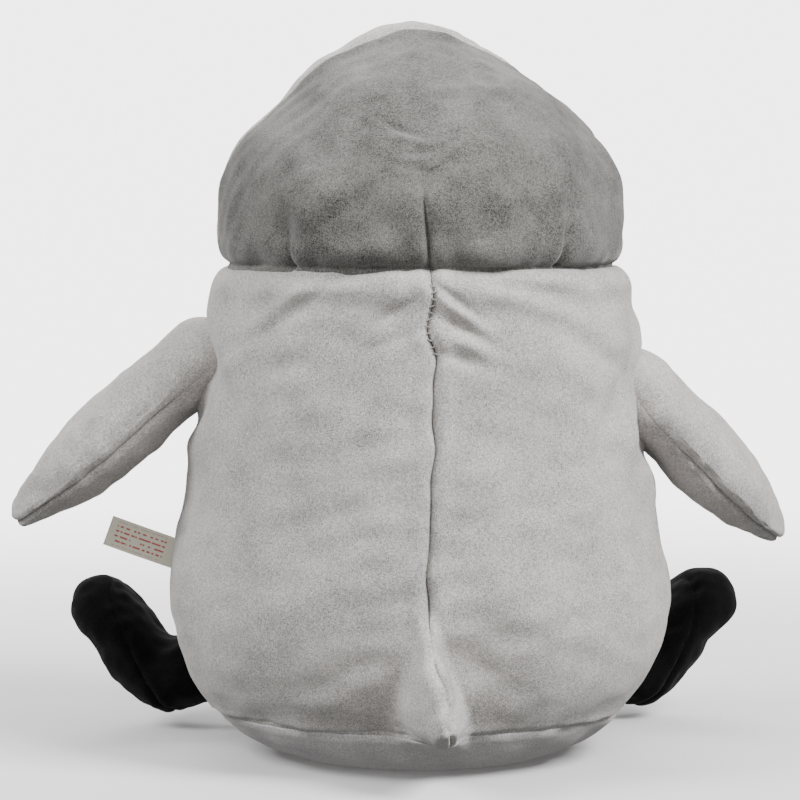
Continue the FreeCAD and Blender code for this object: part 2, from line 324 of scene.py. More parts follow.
@dataclass(frozen=True)
class MouldedFinish:
    """Moulded plastic, from glossy to matt."""

    name: str
    colour: tuple[float, float, float, float]
    roughness: float
    coat: float

    def material(self) -> bpy.types.Material:
        """Builds the shader.

        Returns:
            The finished material.
        """
        shader = Shader(self.name)
        smear = shader.noise(3.0 * MM, detail=2.0)
        lift = tuple(min(1.0, 1.25 * part + 0.002) for part in self.colour[:3]) + (1.0,)
        shader.finish(Base_Color=shader.mix(smear, self.colour, lift))
        shader.finish(Roughness=self.roughness + 0.06 * smear, Coat_Weight=self.coat)
        shader.finish(Coat_Roughness=0.04)
        return shader.material


@dataclass(frozen=True)
class RibbonFinish:
    """Woven ribbon with rows of plain printed bars."""

    name: str
    cloth: tuple[float, float, float, float]
    ink: tuple[float, float, float, float]
    rows: float = 6.0

    def material(self) -> bpy.types.Material:
        """Builds the shader, whose bars lie along the ribbon's second direction.

        Returns:
            The finished material.
        """
        shader = Shader(self.name)
        sheet = shader.node("ShaderNodeUVMap", {"uv_map": "ribbon"}, {})
        parts = shader.node("ShaderNodeSeparateXYZ", {}, {0: sheet})
        node = parts.socket.node
        along, across = Signal(shader, node.outputs["X"]), Signal(shader, node.outputs["Y"])
        row = shader.math("FRACT", across * self.rows, 0.0)
        line = shader.math("FLOOR", across * self.rows, 0.0)
        in_row = shader.math("LESS_THAN", shader.math("ABSOLUTE", row - 0.5, 0.0), 0.17)
        dash_point = shader.node(
            "ShaderNodeCombineXYZ", {}, {"X": along * 26.0, "Y": line * 7.31, "Z": 0.0}
        )
        dash = shader.node("ShaderNodeTexNoise", {}, {"Vector": dash_point, "Scale": 1.0, "Detail": 0.0})
        edge = shader.math("LESS_THAN", shader.math("ABSOLUTE", across - 0.5, 0.0), 0.40)
        ends = shader.math("LESS_THAN", shader.math("ABSOLUTE", along - 0.52, 0.0), 0.37)
        printed = in_row * (dash > 0.44) * edge * ends
        bands = "ShaderNodeTexWave"
        weft = shader.node(bands, {"bands_direction": "X"}, {"Vector": sheet, "Scale": 22.0})
        warp = shader.node(bands, {"bands_direction": "Y"}, {"Vector": sheet, "Scale": 14.0})
        weave = weft * 0.5 + warp * 0.5
        shade = tuple(0.93 * part for part in self.cloth[:3]) + (1.0,)
        cloth = shader.mix(weave, shade, self.cloth)
        shader.finish(Base_Color=shader.mix(printed * 0.85, cloth, self.ink))
        shader.finish(Roughness=0.62 + 0.2 * weave, Sheen_Weight=0.1)
        shader.bump(weave, 0.12 * MM)
        return shader.material


class Finish(Enum):
    """Every finish on the toy, by the record's material slot."""

    GREY = "grey_plush"
    PALE = "pale_plush"
    BASE = "base_plush"
    BLACK = "black_velour"
    BEAK = "beak_cloth"
    FIBRE = "stuffing"
    BAG = "bag_cloth"
    PELLET = "pellets"
    THREAD = "thread"
    EYE = "eye_plastic"
    WASHER = "washer_plastic"
    RIBBON = "label_ribbon"


# Each plush finish gives its lit tuft colour, then the darker painted shade colour of the gaps between
# tufts.
FINISHES = {
    # The grey hood's patches take more painted nap shading.
    Finish.GREY: PlushFinish("grey_plush", linear(142, 140, 136), linear(42, 41, 39), nap_shading=0.32),
    Finish.PALE: PlushFinish("pale_plush", linear(228, 223, 219), linear(128, 124, 121)),
    # Painted light: the base cloth is lighter than the pale body cloth, to make up for the shade beneath
    # the toy.
    Finish.BASE: PlushFinish("base_plush", linear(244, 239, 238), linear(162, 158, 158)),
    Finish.BLACK: PlushFinish(
        "black_velour", linear(14, 14, 15), linear(2, 2, 2), tuft=0.7 * MM, depth=0.4 * MM, sheen=0.03
    ),
    Finish.BEAK: PlushFinish(
        "beak_cloth", linear(24, 24, 25), linear(5, 5, 5), tuft=0.6 * MM, depth=0.3 * MM, sheen=0.04
    ),
    Finish.FIBRE: FibreFinish("stuffing", linear(240, 240, 236)),
    Finish.BAG: FibreFinish("bag_cloth", linear(216, 210, 196), strand=0.7 * MM),
    Finish.PELLET: MouldedFinish("pellets", linear(226, 230, 233), 0.35, 0.2),
    Finish.THREAD: ThreadFinish("thread", linear(188, 182, 177)),
    Finish.EYE: MouldedFinish("eye_plastic", linear(9, 9, 10), 0.06, 1.0),
    Finish.WASHER: MouldedFinish("washer_plastic", linear(222, 222, 218), 0.45, 0.0),
    Finish.RIBBON: RibbonFinish("label_ribbon", linear(255, 251, 232), linear(205, 34, 28)),
}


class Wardrobe:
    """Makes each finish's material once and dresses pieces in it."""

    def __init__(self) -> None:
        """Starts with no material made."""
        self.made: dict[Finish, bpy.types.Material] = {}

    def dress(self, piece: bpy.types.Object, finish: Finish) -> None:
        """Gives a piece its material.

        Args:
            piece: the object to dress.
            finish: which finish it takes.
        """
        if finish not in self.made:
            self.made[finish] = FINISHES[finish].material()
        piece.data.materials.clear()
        piece.data.materials.append(self.made[finish])


# ---- mesh tools ---------------------------------------------------------
def eased(count: int, ends: float = 0.55) -> Array:
    """Steps from 0 to 1 that are closer together at both ends."""
    even = np.linspace(0.0, 1.0, count)
    return even - ends * np.sin(2 * np.pi * even) / (2 * np.pi)


def spline(known: Array, values: Array, wanted: Array) -> Array:
    """Natural cubic spline through known points.

    Args:
        known: where the values are known, rising.
        values: the values there, one row per place.
        wanted: where to read the curve.

    Returns:
        The curve's values at the wanted places.
    """
    known, values = np.asarray(known, float), np.asarray(values, float)
    flat = values.reshape(len(known), -1)
    step = np.diff(known)
    slope = np.diff(flat, axis=0) / step[:, None]
    system, right = np.eye(len(known)), np.zeros_like(flat)
    for i in range(1, len(known) - 1):
        system[i, i - 1 : i + 2] = (step[i - 1], 2 * (step[i - 1] + step[i]), step[i])
        right[i] = 6 * (slope[i] - slope[i - 1])
    bend = np.linalg.solve(system, right)
    spot = np.clip(np.searchsorted(known, wanted) - 1, 0, len(known) - 2)
    low, high = (known[spot + 1] - wanted)[:, None], (wanted - known[spot])[:, None]
    size = step[spot][:, None]
    curve = (bend[spot] * low**3 + bend[spot + 1] * high**3) / (6 * size)
    curve += (flat[spot] / size - bend[spot] * size / 6) * low
    curve += (flat[spot + 1] / size - bend[spot + 1] * size / 6) * high
    return curve.reshape((len(wanted),) + values.shape[1:])


def doubled(grid: Array, axis: int, wrap: bool) -> Array:
    """Puts a smooth point between each two neighbours along one axis of a grid.

    Args:
        grid: the cover's grid of points.
        axis: which axis to refine.
        wrap: whether the grid closes on itself.

    Returns:
        The finer grid.
    """
    grid = np.moveaxis(grid, axis, 0)
    if wrap:
        padded = np.concatenate([grid[-1:], grid, grid[:2]])
    else:
        padded = np.concatenate([2 * grid[:1] - grid[1:2], grid, 2 * grid[-1:] - grid[-2:-1]])
    middle = (9 * (padded[1:-2] + padded[2:-1]) - padded[:-3] - padded[3:]) / 16
    count = len(grid) + len(middle)
    finer = np.empty((count,) + grid.shape[1:])
    finer[0::2] = grid
    finer[1::2] = middle
    return np.moveaxis(finer, 0, axis)


def waves(points: Array, size: float, seed: int, count: int = 14) -> Array:
    """Smooth random relief, about -1 to 1, with lumps of a given size.

    Args:
        points: the points to work on.
        size: about how large one lump is, in metres.
        seed: which random waves.
        count: how many waves are summed.

    Returns:
        The relief at each point.
    """
    chance = np.random.default_rng(seed)
    way = chance.normal(size=(count, 3))
    way /= np.linalg.norm(way, axis=1, keepdims=True)
    way *= 2 * np.pi / size * chance.uniform(0.7, 1.4, size=(count, 1))
    phase = chance.uniform(0, 2 * np.pi, size=count)
    return np.sin(points @ way.T + phase).sum(-1) / math.sqrt(count)


def falloff(distance: Array, width: float) -> Array:
    """One at zero distance, fading smoothly over a width."""
    return np.exp(-((distance / width) ** 2))


def grid_normals(grid: Array, wrap: bool) -> Array:
    """Unit normals of a grid of points, to the same side as grid_faces' own.

    Args:
        grid: the cover's grid of points.
        wrap: whether the grid closes on itself.

    Returns:
        One unit normal for each point.
    """
    if wrap:
        across = np.roll(grid, -1, axis=1) - np.roll(grid, 1, axis=1)
    else:
        across = np.gradient(grid, axis=1)
    down = np.gradient(grid, axis=0)
    normal = np.cross(down, across)
    length = np.linalg.norm(normal, axis=-1, keepdims=True)
    normal /= np.maximum(length, 1e-12)
    return normal


def grid_faces(rows: int, cols: int, wrap: bool) -> list[tuple[int, ...]]:
    """Quads that join a grid's points.

    Args:
        rows: how many rows of points.
        cols: how many points in a row.
        wrap: whether each row closes on itself.

    Returns:
        The quads, as point numbers.
    """
    faces = []
    for row in range(rows - 1):
        for col in range(cols if wrap else cols - 1):
            right = (col + 1) % cols
            first, second = row * cols, (row + 1) * cols
            faces.append((first + col, second + col, second + right, first + right))
    return faces


def make_piece(name: str, points: Array, faces: Sequence[Sequence[int]]) -> bpy.types.Object:
    """Makes a smooth-shaded mesh object.

    Args:
        name: the piece's name.
        points: its points, in metres.
        faces: point numbers of each face.

    Returns:
        The new object, linked to the scene.
    """
    mesh = bpy.data.meshes.new(name)
    mesh.from_pydata(np.asarray(points).reshape(-1, 3).tolist(), [], faces)
    mesh.validate()
    mesh.shade_smooth()
    piece = bpy.data.objects.new(name, mesh)
    bpy.context.scene.collection.objects.link(piece)
    return piece


def apply_modifiers(piece: bpy.types.Object) -> None:
    """Turns a piece's modifiers into its own mesh.

    Args:
        piece: the piece to change.
    """
    bpy.context.view_layer.update()
    shaped = piece.evaluated_get(bpy.context.evaluated_depsgraph_get())
    mesh = bpy.data.meshes.new_from_object(shaped)
    piece.modifiers.clear()
    old = piece.data
    piece.data = mesh
    bpy.data.meshes.remove(old)
    mesh.name = piece.name


def thicken(piece: bpy.types.Object, thickness: float) -> None:
    """Gives a cloth panel its thickness, inwards from the outer face.

    Args:
        piece: the piece to change.
        thickness: how thick the cloth is.
    """
    solid = piece.modifiers.new("thickness", "SOLIDIFY")
    solid.thickness = thickness
    solid.offset = -1.0
    solid.use_even_offset = False
    apply_modifiers(piece)
    piece.data.shade_smooth()


@dataclass(frozen=True)
class CoverPuff:
    """How a sewn cover is puffed by its filling, as a short cloth simulation."""

    growth_seam: float = 0.034
    growth_field: float = 0.006
    support: float = 0.10
    pressure: float = 0.9
    bending: float = 0.6
    frames: int = 16
    evening: int = 10
    limit: float = 3.5 * MM

    def puff(self, points: Array, faces: Sequence[Sequence[int]], held: Array, loose: Array) -> Array:
        """Lets a cover settle under pressure, held at its seams.

        Args:
            points: the cover's points.
            faces: its faces.
            held: from 0, free, to 1, held where it is, for each point.
            loose: from 0 to 1, how much spare cloth is gathered at each point.

        Returns:
            The settled points.
        """
        points = points.reshape(-1, 3)
        trial = make_piece("cloth_trial", points, faces)
        pins = trial.vertex_groups.new(name="held")
        spare = trial.vertex_groups.new(name="loose")
        weights = np.clip(np.maximum(held.ravel(), self.support), 0, 1)
        for i, (pin, gather) in enumerate(zip(weights.tolist(), loose.ravel().tolist())):
            pins.add([i], pin, "REPLACE")
            spare.add([i], gather, "REPLACE")
        cloth = trial.modifiers.new("cloth", "CLOTH")
        what = cloth.settings
        what.quality = 4
        what.mass = 0.25
        what.tension_stiffness = what.compression_stiffness = 18
        what.shear_stiffness = 8
        what.bending_stiffness = self.bending
        what.air_damping = 4
        what.use_pressure = True
        what.uniform_pressure_force = self.pressure
        what.vertex_group_mass = "held"
        what.vertex_group_shrink = "loose"
        what.shrink_min = -self.growth_field
        what.shrink_max = -self.growth_seam
        what.effector_weights.gravity = 0.0
        cloth.collision_settings.use_collision = False
        cloth.point_cache.frame_start = 1
        cloth.point_cache.frame_end = self.frames
        scene = bpy.context.scene
        for step in range(1, self.frames + 1):
            scene.frame_set(step)
        shaped = trial.evaluated_get(bpy.context.evaluated_depsgraph_get()).to_mesh()
        settled = np.empty(len(points) * 3)
        shaped.vertices.foreach_get("co", settled)
        settled = settled.reshape(-1, 3)
        bpy.data.objects.remove(trial)
        scene.frame_set(1)
        move = self.evened(settled - points, faces) * (1 - held.reshape(-1, 1) ** 2)
        far = np.linalg.norm(move, axis=1, keepdims=True)
        LOG.info("cloth moved %.1f mm at most", far.max() / MM)
        return points + move * (self.limit * np.tanh(far / self.limit) / np.maximum(far, 1e-9))

    def evened(self, move: Array, faces: Sequence[Sequence[int]]) -> Array:
        """Spreads a movement over neighbouring points, so that only soft folds stay.

        Args:
            move: how far each point moved.
            faces: the cover's quads.

        Returns:
            The evened movement.
        """
        quads = np.array(faces)
        pairs = np.concatenate([quads[:, [k, (k + 1) % 4]] for k in range(4)])
        count = np.bincount(pairs.ravel(), minlength=len(move))[:, None]
        for _ in range(self.evening):
            total = np.zeros_like(move)
            np.add.at(total, pairs[:, 0], move[pairs[:, 1]])
            np.add.at(total, pairs[:, 1], move[pairs[:, 0]])
            move = 0.5 * (move + total / count)
        return move


class CadProbe:
    """Finds the outer surface of some of the frame's parts by rays."""

    def __init__(self, nodes: Sequence[str]) -> None:
        """Joins the meshes of the named nodes into one search tree.

        Args:
            nodes: names of the frame's nodes.
        """
        points, faces = [], []
        for name in nodes:
            mesh = frame["nodes"][name].data
            start = len(points)
            points += [v.co.copy() for v in mesh.vertices]
            faces += [[start + i for i in p.vertices] for p in mesh.polygons]
        self.points = np.array([tuple(p) for p in points])
        self.tree = BVHTree.FromPolygons(points, faces)

    def hit(self, start: Sequence[float], way: Sequence[float]) -> Array:
        """The first point that a ray meets; fails where there is none.

        Args:
            start: where the ray starts.
            way: its direction.

        Returns:
            The first point that the ray meets.
        """
        found = self.tree.ray_cast(Vector(start), Vector(way).normalized())[0]
        if found is None:
            raise RuntimeError(f"no surface from {tuple(start)}")
        return np.array(found)


def joint(name: str) -> dict:
    """One joint's entry in the record."""
    return next(j for j in frame["joints"] if j["name"] == name)


# ---- sewing -------------------------------------------------------------
@dataclass(frozen=True)
class Crease:
    """A soft fold in the cloth: a short ridge or valley of a given depth."""

    x: float
    z: float
    turn: float
    length: float
    width: float
    depth: float

    def relief(self, points: Array, behind: Array) -> Array:
        """How far the fold moves each point out; only the back of the toy takes it.

        Args:
            points: the points to work on.
            behind: how much each point is on the back, 0 to 1.

        Returns:
            The move at each point, in metres.
        """
        turn = math.radians(self.turn)
        away_x, away_z = points[..., 0] - self.x * MM, points[..., 2] - self.z * MM
        along = away_x * math.cos(turn) + away_z * math.sin(turn)
        across = away_z * math.cos(turn) - away_x * math.sin(turn)
        shape = falloff(along, self.length * MM / 2) * falloff(across, self.width * MM / 2)
        return self.depth * MM * shape * behind


def seam_relief(distance: Array, depth: float = 2.6 * MM, width: float = 3.2 * MM) -> Array:
    """The valley that a sewn seam pulls into padded cloth, narrow with round shoulders.

    Args:
        distance: how far each point is from the seam.
        depth: how deep the valley is.
        width: how wide it is.

    Returns:
        The move at each point, in metres.
    """
    valley = depth * np.exp(-np.abs(distance) / (0.45 * width))
    shoulder = 0.45 * depth * falloff(np.abs(distance) - 1.6 * width, 1.3 * width)
    return shoulder - valley


def puckers(distance: Array, along: Array, seed: int, pitch: float, depth: float, reach: float) -> Array:
    """Small gathers that run away from a seam.

    Args:
        distance: how far each point is from the seam.
        along: how far along the seam it is.
        seed: which gathers.
        pitch: their usual spacing.
        depth: their usual depth.
        reach: how far from the seam they fade.

    Returns:
        How far each point moves out.
    """
    chance = np.random.default_rng(seed)
    relief = np.zeros_like(along)
    start, stop = along.min(), along.max()
    spot = start + pitch * 0.5
    while spot < stop:
        lean = chance.uniform(-0.5, 0.5)
        size = chance.uniform(0.35, 1.0) * depth
        span = chance.uniform(0.5, 1.3) * reach
        wide = chance.uniform(0.28, 0.45) * pitch
        side = chance.choice([-1.0, 1.0])
        near = falloff(along - spot - lean * np.abs(distance), wide) * falloff(distance, span)
        one_sided = 0.5 + 0.5 * np.tanh(side * distance / (1.5 * MM))
        relief -= size * near * (0.3 + 0.7 * one_sided)
        spot += pitch * chance.uniform(0.6, 1.6)
    return relief


def stitch_row(name: str, starts: Array, ends: Array, radius: float) -> bpy.types.Object:
    """A row of thread stitches, each a short round-ended strand that bows up in its middle.

    Args:
        name: the piece's name.
        starts: where each stitch goes in.
        ends: where it comes out.
        radius: half the thread's thickness.

    Returns:
        One mesh with every stitch.
    """
    sides, rings = 8, 7
    points, faces = [], []
    for start, end in zip(starts, ends):
        way = end - start
        length = np.linalg.norm(way)
        way = way / length
        middle = (start + end) / 2
        out = np.array([middle[0], middle[1], 0.0])
        out /= max(np.linalg.norm(out), 1e-9)
        side = np.cross(way, out)
        side /= max(np.linalg.norm(side), 1e-9)
        out = np.cross(side, way)
        first = len(points)
        for ring in range(rings):
            share = ring / (rings - 1)
            thin = radius * math.sqrt(max(0.06, 1 - (2 * share - 1) ** 4))
            centre = start + way * length * share + out * radius * 1.2 * math.sin(math.pi * share)
            for k in range(sides):
                turn = 2 * math.pi * k / sides
                points.append(centre + thin * (math.cos(turn) * side + math.sin(turn) * out))
        for ring in range(rings - 1):
            for k in range(sides):
                a, b = first + ring * sides + k, first + ring * sides + (k + 1) % sides
                faces.append((a, b, b + sides, a + sides))
        last = first + (rings - 1) * sides
        faces.append(tuple(first + k for k in reversed(range(sides))))
        faces.append(tuple(last + k for k in range(sides)))
    return make_piece(name, np.array(points), faces)


def split_by_plane(piece: bpy.types.Object, name: str, point: Array, normal: Array) -> bpy.types.Object:
    """Cuts a piece by a plane; the part on the normal's side becomes a new piece.

    Args:
        piece: the piece, which keeps the other part.
        name: the new piece's name.
        point: a point on the plane.
        normal: the plane's normal.

    Returns:
        The new piece.
    """
    other = piece.copy()
    other.data = piece.data.copy()
    other.name = other.data.name = name
    bpy.context.scene.collection.objects.link(other)
    for target, outer in ((piece, True), (other, False)):
        mesh = bmesh.new()
        mesh.from_mesh(target.data)
        parts = mesh.verts[:] + mesh.edges[:] + mesh.faces[:]
        bmesh.ops.bisect_plane(
            mesh, geom=parts, dist=1e-7, plane_co=point, plane_no=normal,
            clear_outer=outer, clear_inner=not outer,
        )
        mesh.to_mesh(target.data)
        mesh.free()
        target.data.shade_smooth()
    return other


# ---- body ---------------------------------------------------------------
@dataclass
class Body:
    """The pear-shaped body: two back panels, belly, base, tail and what is inside."""

    wardrobe: Wardrobe
    quarter: int = 56
    rows: int = 84
    cloth: float = 1.4 * MM
    side_seam_y: float = -6.0 * MM
    back_seam_x: float = -4.0 * MM
    blend_start_z: float = 205 * MM
    filling_inset: float = 8.0 * MM
    neck_valley: float = 5.0 * MM
    lean: float = 1.8 * MM
    lean_start_z: float = 150 * MM
    lean_span: float = 98 * MM
    tail_top_z: float = 86 * MM
    tail_under: float = 17 * MM
    tail_stretch: float = 1.12
    left_flank: tuple[float, float] = (5 * MM, 22 * MM)
    right_flank: tuple[float, float] = (3 * MM, 9 * MM)
    ridge_softness: float = 0.02
    valley_softness: float = 0.004
    closing_count: int = 11
    creases: tuple[Crease, ...] = (
        Crease(56, 236, -34, 54, 8, 3.0),
        Crease(70, 222, -38, 60, 9, -4.2),
        Crease(84, 210, -42, 48, 9, 3.2),
        Crease(40, 244, -16, 36, 7, -2.4),
        Crease(60, 205, -30, 40, 12, -1.8),
        Crease(98, 188, 60, 44, 12, -3.6),
        Crease(92, 160, -70, 50, 16, 1.8),
        Crease(-98, 184, -62, 52, 12, -4.2),
        Crease(-106, 168, -76, 44, 10, 2.8),
        Crease(-88, 206, 32, 40, 11, -2.4),
        Crease(-76, 196, 40, 34, 10, 1.6),
        Crease(-16, 234, 36, 24, 5, -2.4),
        Crease(-19, 227, 34, 26, 5, 2.0),
        Crease(-19, 220, 28, 28, 5.5, -2.4),
        Crease(-22, 212, 24, 26, 6, 1.8),
        Crease(-19, 205, 18, 22, 6, -1.8),
        Crease(12, 228, -30, 20, 5, -1.4),
        Crease(14, 214, -24, 20, 6, -1.2),
        Crease(-52, 238, 10, 44, 8, -2.0),
        Crease(-60, 228, 14, 40, 9, 1.6),
        Crease(40, 96, -12, 70, 20, 0.9),
        Crease(52, 120, 10, 60, 18, -0.7),
        Crease(-46, 84, 14, 70, 22, 0.9),
        Crease(-40, 132, -10, 60, 18, -0.7),
        Crease(32, 56, -28, 44, 12, -0.9),
        Crease(-36, 54, 30, 44, 12, -1.0),
    )

    def __post_init__(self) -> None:
        """Measures the frame's body."""
        panels = ["back_left_panel", "back_right_panel", "belly_panel", "base_panel"]
        self.probe = CadProbe(panels)
        self.neck_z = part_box("belly_panel")[1].z
        self.seam_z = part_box("base_panel")[1].z
        points = self.probe.points
        self.tail_tip = points[points[:, 1].argmax()]
        upper = np.linspace(self.seam_z + 0.4 * MM, self.neck_z - 0.4 * MM, 18)
        lower = np.array([0.25, 1.2, 3, 5, 8, 12, 17]) * MM
        self.levels = np.concatenate([lower, [self.seam_z - 0.4 * MM], upper])
        self.axes = np.array([self.fit_ring(z) for z in self.levels])

    def fit_ring(self, z: float) -> tuple[float, float, float]:
        """Half width, depth behind and depth in front of the body at one height.

        Args:
            z: the height.

        Returns:
            Half width, depth behind and depth in front.
        """
        found = []
        for turns in ((42, 60, 120, 138), (-64, -76, -90, -104)):
            rays = []
            for turn in turns:
                way = np.array([math.cos(math.radians(turn)), math.sin(math.radians(turn)), 0.0])
                rays.append(self.probe.hit(way * 0.4 + UP * z, -way)[:2] ** 2)
            found.append(np.linalg.lstsq(np.array(rays), np.ones(4), rcond=None)[0] ** -0.5)
        (back_width, back), (_, front) = found
        return back_width, back, front

    def turns(self) -> Array:
        """Angles of the grid's columns, which are closer together beside the seams.

        Returns:
            The columns' angles, in radians.
        """
        back = math.acos(self.back_seam_x / self.axes[-1][0])
        side = math.asin(self.side_seam_y / self.axes[-1][2])
        stops = (side, back, math.pi - side, 2 * math.pi + side)
        counts = (self.quarter, self.quarter, 2 * self.quarter)
        pieces = []
        for start, stop, count in zip(stops, stops[1:], counts):
            pieces.append((start + (stop - start) * eased(count + 1))[:-1])
        return np.concatenate(pieces)

    def ring_points(self, turns: Array, levels: Array) -> Array:
        """Points of the plain body at each height and angle.

        Args:
            turns: angles round the body.
            levels: heights.

        Returns:
            The points.
        """
        axes = spline(self.levels, self.axes, levels.ravel()).reshape(levels.shape + (3,))
        upper = np.clip((levels - self.lean_start_z) / self.lean_span, 0, 1)
        wide = axes[..., 0] * np.cos(turns) - self.lean * upper**2
        depth = np.where(np.sin(turns) > 0, axes[..., 1], axes[..., 2])
        return np.stack([wide, depth * np.sin(turns), levels], axis=-1)

    def with_tail(self, grid: Array) -> Array:
        """Draws the cloth at the bottom of the back out into the short pointed tail.

        Args:
            grid: the cover's grid of points.

        Returns:
            The grid with the tail drawn out.
        """
        height = grid[..., 2]
        tip_y = self.tail_tip[1] - self.axes[8][1]
        fall = np.clip((self.tail_top_z - height) / (self.tail_top_z - self.tail_tip[2]), 0, 1)
        under = np.clip((self.tail_tip[2] - height) / self.tail_under, 0, 1)
        reach = self.tail_stretch * tip_y * fall * (1 - under**1.5)
        away = grid[..., 0] - self.ridge_x(height)
        left, right = (near + far * fall for near, far in (self.left_flank, self.right_flank))
        width = np.where(away > 0, left, right)
        flank = 1 - np.sqrt((away / width) ** 2 + self.ridge_softness)
        ridge = 0.5 * (flank + np.sqrt(flank**2 + self.valley_softness)) * (flank > -0.8)
        drawn = grid.copy()
        drawn[..., 1] += reach * ridge * (grid[..., 1] > 0)
        return drawn

    def ridge_x(self, height: Array) -> Array:
        """Where the tail's ridge and the centre back seam run, at each height."""
        fall = np.clip((self.tail_top_z - height) / (self.tail_top_z - self.tail_tip[2]), 0, 1)
        return self.back_seam_x + (self.tail_tip[0] - self.back_seam_x) * fall**1.3

    def seam_distances(self, grid: Array) -> dict[str, Array]:
        """How far each point is from each seam, with a sign where sides differ.

        Args:
            grid: the cover's grid of points.

        Returns:
            Distances by the name of the seam.
        """
        columns = grid.shape[1]
        quarter = columns // 4
        found = {}
        for name, column in (("left", 0), ("back", quarter), ("right", 2 * quarter)):
            line = grid[:, column : column + 1]
            away = np.linalg.norm(grid - line, axis=-1)
            sign = np.sign((np.arange(columns) - column + columns // 2) % columns - columns // 2)
            found[name] = away * np.where(sign == 0, 1, sign)
        found["neck"] = self.neck_z - grid[..., 2]
        found["base"] = np.linalg.norm(grid - grid[-1:], axis=-1)
        return found

    def wander(self, turns: Array, levels: Array) -> Array:
        """Lets the hand-turned seams wander a little to each side.

        Args:
            turns: angles round the body.
            levels: heights.

        Returns:
            An angle for every point of the grid.
        """
        step = turns[None, :] + np.zeros_like(levels)
        height = levels / MM
        back = turns[self.quarter]
        upper = np.clip((height - 150) / 60, 0, 1)
        drift = (0.004 + 0.009 * upper) * (np.sin(height / 6.1) + 0.6 * np.sin(height / 3.7 + 2.0))
        drift += 0.014 * np.sin(height / 27.0 + 1.3)
        drift += (self.back_seam_x - self.ridge_x(levels)) / self.axes[8][1]
        near = np.exp(-((turns - back) / 0.35) ** 2)
        return step + drift * near[None, :]

    def build(self) -> None:
        """Builds, dresses and places every piece of the body."""
        turns = self.turns()
        share = eased(self.rows, 0.6)
        levels = self.neck_z - (self.neck_z - self.seam_z) * share
        levels = np.repeat(levels[:, None], len(turns), axis=1)
        grid = self.with_tail(self.ring_points(self.wander(turns, levels), levels))
        seams = self.seam_distances(grid)
        held, gathered = self.sewing(seams, grid)
        faces = grid_faces(*grid.shape[:2], wrap=True)
        puffed = CoverPuff().puff(grid, faces, held, gathered).reshape(grid.shape)
        fine = doubled(doubled(puffed, 1, True), 0, False)
        fine = self.detail(fine)
        self.panels(fine)
        self.base(fine)
        self.closing_stitches(fine)
        self.filling(self.ring_points(turns[None, :] + np.zeros_like(levels), levels))
        for name, finish in (("pellet_bag", Finish.BAG), ("pellets", Finish.PELLET)):
            self.wardrobe.dress(frame["nodes"][name], finish)

    def sewing(self, seams: dict[str, Array], grid: Array) -> tuple[Array, Array]:
        """How firmly each point is held, and how much cloth is gathered there.

        Args:
            seams: each seam's distances.
            grid: the cover's grid of points.

        Returns:
            Two weights for each point, from 0 to 1.
        """
        lines = np.stack([np.abs(away) for away in seams.values()])
        nearest = lines.min(axis=0)
        held = falloff(nearest, 1.6 * MM)
        held[0], held[-1] = 1.0, 1.0
        tail = falloff(np.linalg.norm(grid - self.tail_tip, axis=-1), 32 * MM)
        held = np.maximum(held, 0.8 * tail)
        gathered = falloff(nearest, 22 * MM) * (1 - tail)
        return held, gathered

    def detail(self, grid: Array) -> Array:
        """Adds seam valleys, gathers, folds and limb pinches to the fine cloth.

        Args:
            grid: the cover's grid of points.

        Returns:
            The moved grid.
        """
        seams = self.seam_distances(grid)
        normal = grid_normals(grid, wrap=True)
        behind = np.clip(normal[..., 1] * 2.5, 0, 1)
        height = grid[..., 2]
        around = np.arctan2(grid[..., 1], grid[..., 0]) * 110 * MM
        relief = np.zeros(height.shape)
        for name in ("left", "back", "right"):
            relief += seam_relief(seams[name])
        relief += seam_relief(seams["base"], 1.3 * MM, 2.0 * MM)
        relief += seam_relief(seams["neck"], self.neck_valley, 6.0 * MM)
        relief -= 1.4 * MM * falloff(seams["neck"] - 14 * MM, 22 * MM)
        for seed, name in ((11, "left"), (12, "back"), (13, "right")):
            near = np.where(np.abs(seams[name]) < 40 * MM, seams[name], 1.0)
            relief += puckers(near, height, seed, 15 * MM, 1.3 * MM, 9 * MM)
        relief += puckers(seams["neck"], around, 14, 17 * MM, 1.0 * MM, 13 * MM)
        relief += puckers(seams["base"], around, 15, 15 * MM, 1.2 * MM, 9 * MM)
        for crease in self.creases:
            relief += crease.relief(grid, behind)
        relief += 0.9 * MM * waves(grid, 62 * MM, 3) + 0.32 * MM * waves(grid, 19 * MM, 4)
        relief += self.limb_pinches(grid)
        relief += self.tail_folds(grid)
        rim = np.clip(seams["base"] / (1.5 * MM), 0, 1)
        return grid + normal * (relief * (0.25 + 0.75 * rim))[..., None]

    def limb_pinches(self, grid: Array) -> Array:
        """The cloth pulls in round each wing's root.

        Args:
            grid: the cover's grid of points.

        Returns:
            The move at each point, in metres.
        """
        relief = np.zeros(grid.shape[:2])
        for name in ("left_wing_flap", "right_wing_flap"):
            middle = np.array(joint(name)["pos_m"])
            away = (grid - middle) * np.array([0.6, 0.62, 1.0])
            distance = np.linalg.norm(away, axis=-1)
            relief -= 3.2 * MM * falloff(distance - 23 * MM, 7 * MM)
            relief += 1.6 * MM * falloff(distance - 38 * MM, 9 * MM)
        return relief

